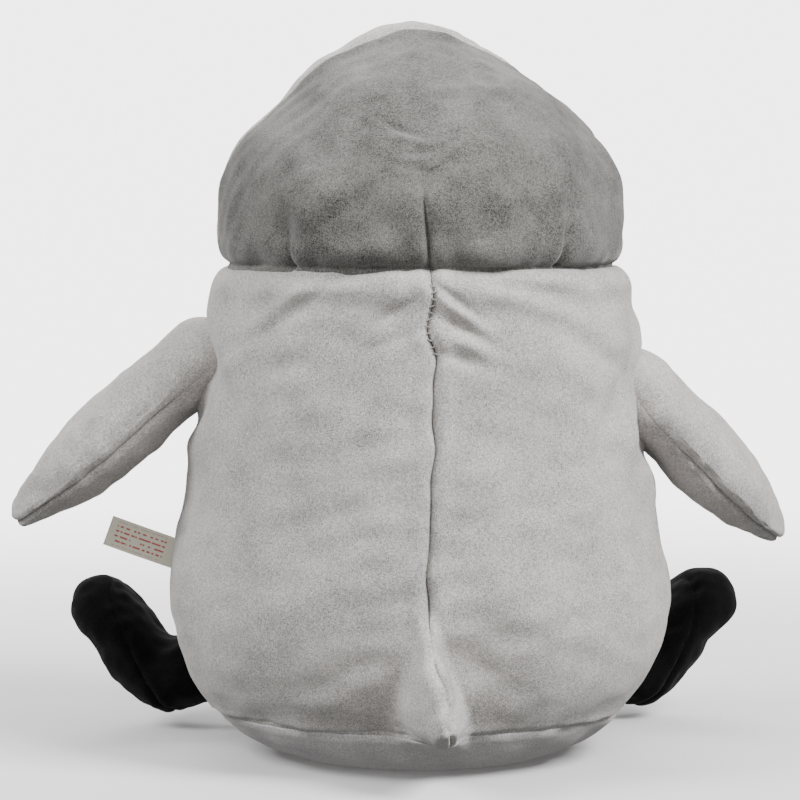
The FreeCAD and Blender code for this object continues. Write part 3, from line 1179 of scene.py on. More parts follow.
    def tail_folds(self, grid: Array) -> Array:
        """A forked fold near the tail's tip and a valley round its root.

        Args:
            grid: the cover's grid of points.

        Returns:
            The move at each point, in metres.
        """
        away = np.linalg.norm(grid - self.tail_tip, axis=-1)
        ring = np.clip(grid[..., 1] / (100 * MM), 0, 1)
        relief = -1.6 * MM * falloff(away - 40 * MM, 7 * MM) * ring
        lines = ((-13.5, 39, 110, 15, 3.2, -2.2), (-8, 44, 125, 13, 4, -1.2), (-19, 38, 75, 12, 5, 0.9))
        for line in lines:
            relief += Crease(*line).relief(grid, ring)
        return relief

    def panels(self, fine: Array) -> None:
        """Cuts the fine cloth into its three panels.

        Args:
            fine: the fine grid of the sewn cover.
        """
        quarter = fine.shape[1] // 4
        cuts = {
            "back_left_cloth": ("back_left_panel", 0, quarter),
            "back_right_cloth": ("back_right_panel", quarter, 2 * quarter),
            "belly_cloth": ("belly_panel", 2 * quarter, 4 * quarter),
        }
        for name, (node, first, last) in cuts.items():
            columns = [column % fine.shape[1] for column in range(first, last + 1)]
            part = fine[:, columns]
            faces = grid_faces(*part.shape[:2], wrap=False)
            piece = make_piece(name, part, faces)
            thicken(piece, self.cloth)
            self.wardrobe.dress(piece, Finish.PALE)
            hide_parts(node)
            self.join_head(piece)

    def join_head(self, piece: bpy.types.Object) -> None:
        """Bakes a piece's placement into its mesh.

        Args:
            piece: the piece to change.
        """
        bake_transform(piece)
        LOG.info("%s follows torso and head", piece.name)

    def base(self, fine: Array) -> None:
        """The darker base panel, from its seam down to the flat patch.

        Args:
            fine: the fine grid of the sewn cover.
        """
        # The base panel, from its seam down to the flat patch, in a cloth painted lighter than the
        # body's to make up for the shade beneath the toy.
        edge = fine[-1]
        levels = np.array([20.5, 17, 13.5, 10, 7, 4.5, 2.5, 1.1, 0.35]) * MM
        turns = np.arctan2(edge[:, 1] / self.axes[7][1], edge[:, 0] / self.axes[7][0])
        near_tail = (edge[:, 1] > 0) & (np.abs(edge[:, 0]) < 45 * MM)
        turns = np.where(near_tail, np.arccos(np.clip(edge[:, 0] / self.axes[7][0], -1, 1)), turns)
        rows = [edge]
        for level in levels:
            rows.append(self.with_tail(self.ring_points(turns, np.full(len(turns), level))))
        last = rows[-1]
        for share in (0.85, 0.7, 0.55, 0.4, 0.25, 0.12):
            row = last * share
            row[:, 2] = 0.0
            rows.append(row)
        rows = doubled(np.stack(rows), 0, False)
        rows[..., 2] = np.maximum(rows[..., 2], 0.0)
        normal = grid_normals(rows, wrap=True)
        away = np.linalg.norm(rows - rows[:1], axis=-1)
        lift = np.clip(rows[..., 2] / (6 * MM), 0, 1)
        around = np.arctan2(rows[..., 1], rows[..., 0]) * 105 * MM
        relief = seam_relief(away, 1.3 * MM, 2.0 * MM)
        relief += puckers(away, around, 16, 14 * MM, 0.9 * MM, 8 * MM)
        relief += 0.5 * MM * waves(rows, 25 * MM, 5)
        relief[0] = 0.0
        rows = rows + normal * (relief * lift)[..., None]
        faces = grid_faces(*rows.shape[:2], wrap=True)
        count, width = rows.shape[:2]
        faces.append(tuple((count - 1) * width + i for i in range(width)))
        piece = make_piece("base_cloth", rows, faces)
        thicken(piece, self.cloth)
        self.wardrobe.dress(piece, Finish.BASE)
        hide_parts("base_panel")
        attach(piece, "torso")
        LOG.info("base_cloth rides on the torso")

    def closing_stitches(self, fine: Array) -> None:
        """Hand stitches across the top of the centre back seam.

        Args:
            fine: the fine grid of the sewn cover.
        """
        low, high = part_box("closing_stitches")
        line = fine[:, fine.shape[1] // 4]
        order = np.argsort(line[:, 2])
        heights = np.linspace(low.z + 1 * MM, high.z - 1 * MM, self.closing_count)
        spots = np.stack([np.interp(heights, line[order, 2], line[order, k]) for k in range(3)], -1)
        lean = np.where(np.arange(self.closing_count) % 2 == 0, 1.0, -1.0)[:, None]
        half = np.array([2.3 * MM, 0.0, 0.0]) + lean * UP * 0.9 * MM
        rise = np.array([0.0, 1.5 * MM, 0.0])
        piece = stitch_row("closing_thread", spots - half + rise, spots + half + rise, 0.32 * MM)
        self.wardrobe.dress(piece, Finish.THREAD)
        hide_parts("closing_stitches")
        self.join_head(piece)

    def filling(self, grid: Array) -> None:
        """The fibre filling inside the body's cover.

        Args:
            grid: the cover's grid of points.
        """
        coarse = grid[::3, ::4]
        normal = grid_normals(coarse, wrap=True)
        inner = coarse - normal * self.filling_inset
        inner[..., 2] = np.clip(inner[..., 2], self.seam_z, self.neck_z - self.filling_inset)
        floor = inner[-1:] * np.array([0.72, 0.72, 0.0]) + UP * 8 * MM
        lid = inner[:1] * np.array([0.6, 0.6, 1.0]) - UP * 3 * MM
        rows = np.concatenate([lid, inner, floor])
        count, width = rows.shape[:2]
        faces = grid_faces(count, width, wrap=True)
        faces.append(tuple(reversed(range(width))))
        faces.append(tuple((count - 1) * width + i for i in range(width)))
        piece = make_piece("body_filling", rows + 0.8 * MM * waves(rows, 30 * MM, 6)[..., None], faces)
        self.wardrobe.dress(piece, Finish.FIBRE)
        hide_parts("body_stuffing", "tail_stuffing")
        self.join_head(piece)


# ---- head ---------------------------------------------------------------
@dataclass(frozen=True)
class Dart:
    """A sewn dart in the hood that runs up from the neck and fades in a dimple."""

    low_x: float
    top_x: float
    top_z: float
    depth: float

    def distance(self, points: Array, neck_z: float) -> tuple[Array, Array]:
        """Sideways distance from the dart's line, and how far up it, from 0 to 1.

        Args:
            points: the points to work on.
            neck_z: the height of the neck seam.

        Returns:
            The distance and the rise of each point.
        """
        rise = (points[..., 2] - neck_z) / (self.top_z * MM - neck_z)
        line = (self.low_x + (self.top_x - self.low_x) * rise) * MM
        return points[..., 0] - line, rise

    def relief(self, points: Array, neck_z: float) -> Array:
        """How far the dart moves each point of the back of the head.

        Args:
            points: the points to work on.
            neck_z: the height of the neck seam.

        Returns:
            The move at each point, in metres.
        """
        away, rise = self.distance(points, neck_z)
        span = np.clip(1.0 - np.clip(rise, 0, 1) ** 3, 0, 1) * (rise < 1.0)
        behind = points[..., 1] > 0
        valley = -np.exp(-np.abs(away) / (1.2 * MM)) + 0.26 * falloff(np.abs(away) - 6 * MM, 5 * MM)
        up = (points[..., 2] - self.top_z * MM) / (7 * MM)
        dimple = -0.7 * np.exp(-((away / (6 * MM)) ** 2) - up**2)
        return self.depth * MM * (valley * span + dimple) * behind


@dataclass
class Head:
    """The head: a darted grey hood, a pale face in two halves, eyes and beak."""

    wardrobe: Wardrobe
    columns: int = 200
    rows: int = 78
    cloth: float = 1.4 * MM
    hidden_rim_z: float = 236.0 * MM
    seam_top_y: float = 20.0 * MM
    seam_slope: float = 0.20
    seam_twist: float = 0.11
    filling_inset: float = 10.0 * MM
    dome_ease: float = 0.030
    back_share: float = 0.55
    darts: tuple[Dart, ...] = (
        Dart(-4.5, -0.5, 290, 3.6),
        Dart(63, 66, 266, 3.6),
        Dart(-67, -73, 278, 3.8),
    )
    creases: tuple[Crease, ...] = (
        Crease(9, 314, 24, 24, 4.0, -1.7),
        Crease(5, 309, 10, 26, 4.0, 1.3),
        Crease(-2, 304, -14, 26, 4.0, -1.6),
        Crease(-8, 299, -34, 20, 4.0, 1.1),
        Crease(4, 296, 12, 24, 5.0, -1.2),
        Crease(-44, 286, 52, 38, 9, -1.8),
        Crease(40, 274, -40, 40, 10, -2.0),
        Crease(60, 290, -52, 36, 9, 1.5),
        Crease(-30, 330, -24, 36, 9, 1.2),
        Crease(30, 318, 30, 34, 8, -1.1),
    )

    def __post_init__(self) -> None:
        """Measures the frame's head."""
        self.probe = CadProbe(["head_back_panel", "face_left_panel", "face_right_panel"])
        self.pivot = np.array(joint("head_nod")["pos_m"])
        self.neck_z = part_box("belly_panel")[1].z
        turns = [0.6, 4, 8, 13, 19, 26, 34, 43, 52, 61, 70, 79, 88, 96, 104, 110]
        self.angles = np.radians(np.array(turns))
        self.radii = np.array([self.reach(angle) for angle in self.angles])
        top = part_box("face_left_panel")[1].z - self.pivot[2]
        self.radii[0] = top

    def reach(self, angle: float) -> float:
        """How far the head's surface is from the pivot, at an angle from straight up.

        Args:
            angle: the angle from straight up.

        Returns:
            The distance, in metres.
        """
        found = []
        for turn in (30, 75, 120, 165):
            level = math.radians(turn)
            way = np.array([math.cos(level), math.sin(level), 0.0]) * math.sin(angle)
            way[2] = math.cos(angle)
            hit = self.probe.hit(self.pivot + way * 0.3, -way)
            found.append(np.linalg.norm(hit - self.pivot))
        return float(np.mean(found))

    def plain(self) -> Array:
        """The head's grid of points, from the peak to the hidden rim in the neck.

        Returns:
            The grid of points.
        """
        last = math.acos((self.hidden_rim_z - self.pivot[2]) / self.radii[-1])
        angles = np.linspace(math.radians(1.2), last, self.rows)
        radii = spline(self.angles, self.radii, angles)
        radii *= 1 - self.dome_ease * falloff(angles - math.radians(46), math.radians(17))
        turns = np.linspace(0, 2 * np.pi, self.columns, endpoint=False)
        turns = turns + self.back_share * np.cos(turns)
        flat = (radii * np.sin(angles))[:, None]
        height = (radii * np.cos(angles))[:, None] + np.zeros(self.columns)
        grid = np.stack([flat * np.cos(turns), flat * np.sin(turns), height], -1) + self.pivot
        lean = falloff(grid[..., 2] - grid[..., 2].max(), 30 * MM)
        grid[..., 0] += 5 * MM * lean
        return grid

    def hood_distance(self, points: Array) -> Array:
        """Signed distance from the plane of the seam between hood and face.

        Args:
            points: the points to work on.

        Returns:
            The distance, positive on the hood.
        """
        normal = np.array([-self.seam_twist, 1.0, -self.seam_slope])
        point = np.array([0.0, self.seam_top_y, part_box("face_left_panel")[1].z])
        return (points - point) @ (normal / np.linalg.norm(normal))

    def build(self) -> None:
        """Builds, dresses and places every piece of the head."""
        grid = self.plain()
        held, gathered = self.sewing(grid)
        faces = grid_faces(*grid.shape[:2], wrap=True)
        puffed = CoverPuff().puff(grid, faces, held, gathered).reshape(grid.shape)
        fine = self.detail(doubled(doubled(puffed, 1, True), 0, False))
        self.panels(fine)
        self.filling(grid)
        self.beak()
        for side in ("left", "right"):
            self.wardrobe.dress(frame["nodes"][f"{side}_eye"], Finish.EYE)
            self.wardrobe.dress(frame["nodes"][f"{side}_eye_washer"], Finish.WASHER)

    def sewing(self, grid: Array) -> tuple[Array, Array]:
        """How firmly each point is held, and how much cloth is gathered there.

        Args:
            grid: the cover's grid of points.

        Returns:
            Two weights for each point, from 0 to 1.
        """
        hood = np.abs(self.hood_distance(grid))
        neck = np.abs(grid[..., 2] - self.neck_z)
        chin = np.where(self.hood_distance(grid) < 0, np.abs(grid[..., 0]), 1.0)
        nearest = np.minimum(np.minimum(hood, neck), chin)
        for dart in self.darts:
            away, rise = dart.distance(grid, self.neck_z)
            on = (grid[..., 1] > 0) & (rise < 1.0)
            nearest = np.minimum(nearest, np.where(on, np.abs(away), 1.0))
        held = falloff(nearest, 2.2 * MM)
        held[grid[..., 2] < self.neck_z] = 1.0
        held[:4] = 1.0
        return held, falloff(nearest, 20 * MM)

    def detail(self, grid: Array) -> Array:
        """Adds seams, darts, gathers and soft folds to the fine cloth.

        Args:
            grid: the cover's grid of points.

        Returns:
            The moved grid.
        """
        normal = grid_normals(grid, wrap=True)
        behind = np.clip(normal[..., 1] * 2.5, 0, 1)
        hood = self.hood_distance(grid)
        neck = grid[..., 2] - self.neck_z
        around = np.arctan2(grid[..., 1], grid[..., 0]) * 100 * MM
        relief = seam_relief(hood, 1.7 * MM, 2.4 * MM) + seam_relief(neck, 2.9 * MM, 5.0 * MM)
        chin = np.where(hood < 0, grid[..., 0], 1.0)
        below_peak = np.clip((365 * MM - grid[..., 2]) / (25 * MM), 0.2, 1)
        relief += seam_relief(chin, 1.4 * MM, 2.4 * MM) * below_peak
        relief += puckers(neck, around, 21, 16 * MM, 1.8 * MM, 16 * MM)
        relief += puckers(hood, grid[..., 2] - 0.4 * grid[..., 0], 22, 18 * MM, 0.7 * MM, 8 * MM)
        for dart in self.darts:
            relief += dart.relief(grid, self.neck_z)
        for crease in self.creases:
            relief += crease.relief(grid, behind)
        relief += 1.1 * MM * waves(grid, 52 * MM, 23) + 0.36 * MM * waves(grid, 15 * MM, 24)
        for side in ("left", "right"):
            low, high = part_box(f"{side}_eye")
            eye = np.array((low + high) / 2)
            away = np.linalg.norm(grid - eye, axis=-1)
            relief = relief * (1 - falloff(away, 15 * MM)) - 0.6 * MM * falloff(away, 9 * MM)
        relief = np.where(neck < 0, np.minimum(relief, -2.6 * MM), relief)
        return grid + normal * relief[..., None]

    def panels(self, fine: Array) -> None:
        """Cuts the fine cloth into the hood and the two halves of the face.

        Args:
            fine: the fine grid of the sewn cover.
        """
        faces = grid_faces(*fine.shape[:2], wrap=True)
        faces.append(tuple(range(fine.shape[1])))
        face = make_piece("face_right_cloth", fine, faces)
        normal = np.array([-self.seam_twist, 1.0, -self.seam_slope])
        point = np.array([0.0, self.seam_top_y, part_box("face_left_panel")[1].z])
        hood = split_by_plane(face, "hood_cloth", point, normal)
        left = split_by_plane(face, "face_left_cloth", np.zeros(3), np.array([1.0, 0.0, 0.0]))
        for piece, node, finish in (
            (hood, "head_back_panel", Finish.GREY),
            (left, "face_left_panel", Finish.PALE),
            (face, "face_right_panel", Finish.PALE),
        ):
            thicken(piece, self.cloth)
            self.wardrobe.dress(piece, finish)
            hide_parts(node)
            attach(piece, "head")
            LOG.info("%s rides on the head", piece.name)

    def filling(self, grid: Array) -> None:
        """The fibre filling inside the head's cover.

        Args:
            grid: the cover's grid of points.
        """
        coarse = grid[::3, ::4]
        inner = coarse - grid_normals(coarse, wrap=True) * self.filling_inset
        low = inner[-1:] * np.array([0.8, 0.8, 1.0]) - UP * 7 * MM
        deep = inner[-1:] * np.array([0.5, 0.5, 1.0]) - UP * 12 * MM
        rows = np.concatenate([inner, low, deep])
        count, width = rows.shape[:2]
        faces = grid_faces(count, width, wrap=True)
        faces.append(tuple(range(width)))
        faces.append(tuple((count - 1) * width + i for i in range(width)))
        piece = make_piece("head_filling", rows + 0.8 * MM * waves(rows, 28 * MM, 26)[..., None], faces)
        self.wardrobe.dress(piece, Finish.FIBRE)
        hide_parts("head_stuffing")
        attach(piece, "head")

    def beak(self) -> None:
        """The small stuffed beak, in an upper and a lower cover."""
        low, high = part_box("beak_upper")
        seam_z = low.z
        half = np.array([(high.x - low.x) / 2, high.y - low.y, high.z - low.z])
        root = np.array([(low.x + high.x) / 2, high.y, seam_z])
        columns, rows = 72, 44
        turns = np.linspace(0, 2 * np.pi, columns, endpoint=False)
        share = np.linspace(0.06, 1.0, rows)
        out = np.sin(share * np.pi / 2)
        girth = np.cos(share * np.pi / 2) ** 0.8 + 0.02
        girth[0] = girth[0] * 1.05
        x = root[0] + half[0] * girth[:, None] * np.cos(turns)
        z = root[2] + half[2] * girth[:, None] * np.sin(turns) - 1.5 * MM * (out**3)[:, None]
        y = root[1] - half[1] * out[:, None] + np.zeros(columns)
        grid = np.stack([x, y, z], -1)
        normal = -grid_normals(grid, wrap=True)
        seam = np.abs(np.sin(turns)) * 9 * MM
        relief = seam_relief(np.where(seam < 9 * MM, seam, 9 * MM), 0.8 * MM, 1.4 * MM)
        grid = grid + normal * (relief[None, :] * girth[:, None])[..., None]
        half_turn = columns // 2
        for node, first in (("beak_upper", 0), ("beak_lower", half_turn)):
            picked = [(first + k) % columns for k in range(half_turn + 1)]
            part = grid[:, picked]
            piece = make_piece(f"{node}_cover", part, grid_faces(*part.shape[:2], wrap=False))
            thicken(piece, -0.6 * MM)
            self.wardrobe.dress(piece, Finish.BEAK)
            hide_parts(node)
            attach(piece, "head")
        self.wardrobe.dress(frame["nodes"]["beak_stuffing"], Finish.FIBRE)


# ---- wings --------------------------------------------------------------
@dataclass
class Wing:
    """One stuffed wing: an upper and a lower panel sewn round their edge."""

    wardrobe: Wardrobe
    side: str
    columns: int = 96
    rows: int = 60
    cloth: float = 1.2 * MM
    seam_drop: float = 0.22
    root_reach: float = 34.0 * MM
    filling_inset: float = 5.0 * MM

    def __post_init__(self) -> None:
        """Measures the frame's wing, in its own directions."""
        nodes = [f"{self.side}_wing_upper_panel", f"{self.side}_wing_lower_panel"]
        self.probe = CadProbe(nodes)
        flap = joint(f"{self.side}_wing_flap")
        self.hinge = np.array(flap["pos_m"])
        self.across = -np.array(flap["axis"])
        away = self.probe.points - self.hinge
        tip = away[np.linalg.norm(away, axis=1).argmax()]
        tip = tip - self.across * (tip @ self.across)
        self.length = float(np.linalg.norm(tip))
        self.along = tip / self.length
        self.up = np.cross(self.along, self.across)
        if self.up[2] < 0:
            self.up = -self.up
        near = [-0.16, -0.12, -0.05, 0.04, 0.14, 0.26, 0.4]
        self.stations = np.array(near + [0.55, 0.68, 0.79, 0.88, 0.95, 0.985])
        self.chords = np.array([self.half(s, self.across) for s in self.stations])
        self.depths = np.array([self.half(s, self.up) for s in self.stations])
        self.depths *= 0.97 - 0.17 * np.clip(self.stations / 0.8, 0, 1)
        root = self.stations < 0.12
        self.depths[root] = self.depths[~root][0]
        self.chords[root] = self.chords[~root][0]

    def half(self, station: float, way: Array) -> float:
        """Half size of the wing in one direction, at a share of its length.

        Args:
            station: a share of the wing's length.
            way: the direction to measure in.

        Returns:
            Half the size, in metres.
        """
        middle = self.hinge + self.along * (station * self.length)
        hit = self.probe.hit(middle + way * 0.08, -way)
        return float((hit - middle) @ way)

    def plain(self) -> Array:
        """The wing's grid of points.

        Returns:
            The grid of points.
        """
        start = -self.root_reach
        share = 0.5 - 0.5 * np.cos(np.linspace(0.10, np.pi - 0.05, self.rows))
        stations = start + (self.length - start) * share
        shares = stations / self.length
        ends = np.array([start / self.length, 1.0])
        known = np.concatenate([ends[:1], self.stations, ends[1:]])
        keep = np.concatenate([[True], np.diff(known) > 1e-4])
        sizes = np.stack([self.chords, self.depths], -1) ** 2
        sizes = np.concatenate([[[0, 0]], sizes, [[0, 0]]])
        squares = spline(known[keep], sizes[keep], shares)
        sizes = np.sqrt(np.maximum(squares, (1.5 * MM) ** 2))
        half = self.columns // 2
        panel = np.pi * eased(half + 1, 0.6)[:-1]
        turns = np.concatenate([panel, np.pi + panel])
        turns = turns - self.seam_drop * np.cos(turns)
        centre = self.hinge + stations[:, None, None] * self.along
        side = (sizes[:, :1] * np.cos(turns))[..., None] * self.across
        rise = (sizes[:, 1:] * np.sin(turns))[..., None] * self.up
        return centre + side + rise

    def build(self) -> None:
        """Builds, dresses and places the wing's pieces."""
        grid = self.plain()
        outward = 1.0 if self.outward(grid) else -1.0
        half = self.columns // 2
        edges = np.stack([np.linalg.norm(grid - grid[:, k : k + 1], axis=-1) for k in (0, half)])
        nearest = edges.min(axis=0)
        held = falloff(nearest, 1.5 * MM)
        held[: self.rows // 5] = 1.0
        held[-1] = 1.0
        faces = grid_faces(*grid.shape[:2], wrap=True)
        if outward < 0:
            faces = [tuple(reversed(face)) for face in faces]
        test = CoverPuff(growth_seam=0.06, growth_field=0.015, pressure=1.2, limit=3 * MM)
        puffed = test.puff(grid, faces, held, falloff(nearest, 16 * MM)).reshape(grid.shape)
        fine = doubled(doubled(puffed, 1, True), 0, False)
        normal = outward * grid_normals(fine, wrap=True)
        edges = np.stack([np.linalg.norm(fine - fine[:, k : k + 1], axis=-1) for k in (0, 2 * half)])
        near = edges.min(axis=0)
        along = (fine - self.hinge) @ self.along
        seed = 31 if self.side == "left" else 41
        relief = seam_relief(near, 1.6 * MM, 2.2 * MM)
        signed = near * np.where((fine - self.hinge) @ self.up > 0, 1.0, -1.0)
        for k in range(2):
            on_edge = edges[k] < edges[1 - k]
            gathers = puckers(np.where(on_edge, signed, 1.0), along, seed + k, 11 * MM, 1.3 * MM, 7 * MM)
            relief += gathers
        relief += 0.7 * MM * waves(fine, 40 * MM, seed + 3) + 0.3 * MM * waves(fine, 14 * MM, seed + 4)
        relief *= np.clip((along + 6 * MM) / (20 * MM), 0.15, 1)
        fine = fine + normal * relief[..., None]
        self.panels(fine, outward)
        self.filling(grid, outward)

    def outward(self, grid: Array) -> bool:
        """Whether the grid's normals already point out.

        Args:
            grid: the cover's grid of points.

        Returns:
            True where they point out.
        """
        normal = grid_normals(grid, wrap=True)
        middle = self.hinge + (((grid - self.hinge) @ self.along)[..., None]) * self.along
        return float(((grid - middle) * normal).sum()) > 0

    def panels(self, fine: Array, outward: float) -> None:
        """Cuts the fine cloth into its upper and lower panels.

        Args:
            fine: the fine grid of the sewn cover.
            outward: 1 where the normals point out, else -1.
        """
        width = fine.shape[1]
        for name, first in (("upper", 0), ("lower", width // 2)):
            picked = [(first + k) % width for k in range(width // 2 + 1)]
            part = fine[:, picked]
            faces = grid_faces(*part.shape[:2], wrap=False)
            if outward < 0:
                faces = [tuple(reversed(face)) for face in faces]
            piece = make_piece(f"{self.side}_wing_{name}_cloth", part, faces)
            thicken(piece, self.cloth)
            self.wardrobe.dress(piece, Finish.PALE)
            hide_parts(f"{self.side}_wing_{name}_panel")
            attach(piece, f"{self.side}_wing")
            LOG.info("%s rides on the %s wing", piece.name, self.side)

    def filling(self, grid: Array, outward: float) -> None:
        """The fibre filling inside the wing's cover.

        Args:
            grid: the cover's grid of points.
            outward: 1 where the normals point out, else -1.
        """
        coarse = grid[::2, ::3]
        middle = self.hinge + (((coarse - self.hinge) @ self.along)[..., None]) * self.along
        away = coarse - middle
        size = np.maximum(np.linalg.norm(away, axis=-1, keepdims=True), 1e-6)
        inner = middle + away * np.clip(1 - self.filling_inset / size, 0.12, 1)
        count, width = inner.shape[:2]
        faces = grid_faces(count, width, wrap=True)
        faces.append(tuple(range(width)))
        faces.append(tuple((count - 1) * width + i for i in reversed(range(width))))
        if outward < 0:
            faces = [tuple(reversed(face)) for face in faces]
        piece = make_piece(f"{self.side}_wing_filling", inner, faces)
        self.wardrobe.dress(piece, Finish.FIBRE)
        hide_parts(f"{self.side}_wing_stuffing")
        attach(piece, f"{self.side}_wing")


# ---- feet ---------------------------------------------------------------
@dataclass
class Foot:
    """One black foot with its leg: an upper, a sole and the filling."""

    wardrobe: Wardrobe
    side: str
    voxel: float = 2.4 * MM
    skin: float = 2.0 * MM
    cloth: float = 1.0 * MM
    heel_pull: float = 17.0 * MM
    arch: float = 8.0 * MM
    instep: float = 34 * MM
    instep_rise: float = 7.0 * MM
    toe_notch: float = 3.0 * MM
    toe_swell: float = 3.0 * MM
    seam_point: tuple[float, float, float] = (58 * MM, 0.0, 2 * MM)
    seam_normal: tuple[float, float, float] = (-0.9, 0.0, 0.44)

    def __post_init__(self) -> None:
        """Finds the leg's own directions from its hinge and its reach."""
        swing = joint(f"{self.side}_leg_swing")
        self.hip = np.array(swing["pos_m"])
        mesh = frame["nodes"][f"{self.side}_foot_stuffing"].data
        points = np.array([tuple(v.co) for v in mesh.vertices])
        away = points - self.hip
        level = away * np.array([1.0, 1.0, 0.0])
        reach = level[np.linalg.norm(level, axis=1) > 0.07].mean(axis=0)
        self.along = reach / np.linalg.norm(reach)
        self.across = np.cross(UP, self.along)
        self.toe_shift = {"left": 1.5 * MM, "right": -6.0 * MM}[self.side]

    def smooth_form(self, name: str, grow: float) -> bpy.types.Object:
        """The foot's form as an even, smooth mesh, moved out by a distance.

        Args:
            name: the new piece's name.
            grow: how far to move the surface out.

        Returns:
            The new piece.
        """
        source = frame["nodes"][f"{self.side}_foot_stuffing"].data
        piece = bpy.data.objects.new(name, source.copy())
        bpy.context.scene.collection.objects.link(piece)
        remesh = piece.modifiers.new("even", "REMESH")
        remesh.mode = "VOXEL"
        remesh.voxel_size = self.voxel
        apply_modifiers(piece)
        soften = piece.modifiers.new("soften", "SMOOTH")
        soften.iterations = 12
        soften.factor = 0.5
        apply_modifiers(piece)
        points, normals = self.points(piece), self.normals(piece)
        points = points + normals * (grow + 0.5 * MM)
        self.set_points(piece, self.shaped(points, normals))
        return piece

    def shaped(self, points: Array, normals: Array) -> Array:
        """Draws the heel in, rounds the toes and lifts the instep.

        Args:
            points: the foot's points.
            normals: their normals.

        Returns:
            The moved points.
        """
        local = points - self.hip
        along, height = local @ self.along, local[:, 2]
        outer = np.clip((along - self.instep) / (40 * MM), 0, 1)
        low = np.clip((46 * MM - height) / (62 * MM), 0, 1)
        pull = self.heel_pull * outer**1.3 * low
        pull += self.toe_notch * outer * falloff(height - 16 * MM, 8 * MM)
        toes = outer * np.clip((height - 14 * MM) / (14 * MM), 0, 1)
        points = points - pull[:, None] * self.along + self.toe_swell * toes[:, None] * normals
        points[:, 0] += self.toe_shift * toes
        inner = np.clip((74 * MM - along) / (50 * MM), 0, 1)
        under = np.clip((52 * MM - points[:, 2]) / (52 * MM), 0, 1)
        points[:, 2] += self.arch * inner * under
        over = falloff(along - self.instep, 24 * MM) * np.clip(normals[:, 2], 0, 1)
        points[:, 2] += self.instep_rise * over
        return points

    def points(self, piece: bpy.types.Object) -> Array:
        """A mesh's points.

        Args:
            piece: the piece to read.

        Returns:
            The points, one row each.
        """
        found = np.empty(len(piece.data.vertices) * 3)
        piece.data.vertices.foreach_get("co", found)
        return found.reshape(-1, 3)

    def normals(self, piece: bpy.types.Object) -> Array:
        """A mesh's normals at its points."""
        return np.array([tuple(v.normal) for v in piece.data.vertices])

    def set_points(self, piece: bpy.types.Object, points: Array) -> None:
        """Moves a mesh's points."""
        piece.data.vertices.foreach_set("co", points.ravel())
        piece.data.update()

    def build(self) -> None:
        """Builds, dresses and places the foot's pieces."""
        piece = self.smooth_form(f"{self.side}_foot_upper_cloth", self.skin)
        finer = piece.modifiers.new("finer", "SUBSURF")
        finer.levels = 1
        apply_modifiers(piece)
        points, normals = self.points(piece), self.normals(piece)
        local = points - self.hip
        along, up, across = local @ self.along, local[:, 2], local @ self.across
        normal = np.array(self.seam_normal) / np.linalg.norm(self.seam_normal)
        away = (along - self.seam_point[0]) * normal[0] + (up - self.seam_point[2]) * normal[2]
        seed = 51 if self.side == "left" else 61
        relief = seam_relief(away, 1.3 * MM, 2.0 * MM)
        relief += puckers(away, across + 0.8 * up, seed, 9 * MM, 0.9 * MM, 7 * MM)
        relief += 0.6 * MM * waves(points, 26 * MM, seed + 1)
        relief += 0.25 * MM * waves(points, 11 * MM, seed + 2)
        relief -= 1.8 * MM * falloff(along - 52 * MM, 8 * MM) * np.clip(up / (20 * MM) + 0.5, 0, 1)
        self.set_points(piece, points + normals * relief[:, None])
        world_point = self.hip + self.along * self.seam_point[0] + UP * self.seam_point[2]
        world_normal = self.along * normal[0] + UP * normal[2]
        sole = split_by_plane(piece, f"{self.side}_foot_sole_cloth", world_point, -world_normal)
        for part, node in ((piece, "upper"), (sole, "sole")):
            thicken(part, self.cloth)
            self.wardrobe.dress(part, Finish.BLACK)
            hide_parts(f"{self.side}_foot_{node}")
            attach(part, f"{self.side}_leg")
            LOG.info("%s rides on the %s leg", part.name, self.side)
        filling = self.smooth_form(f"{self.side}_foot_filling", -3.0 * MM)
        filling.data.shade_smooth()
        self.wardrobe.dress(filling, Finish.FIBRE)
        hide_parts(f"{self.side}_foot_stuffing")
        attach(filling, f"{self.side}_leg")


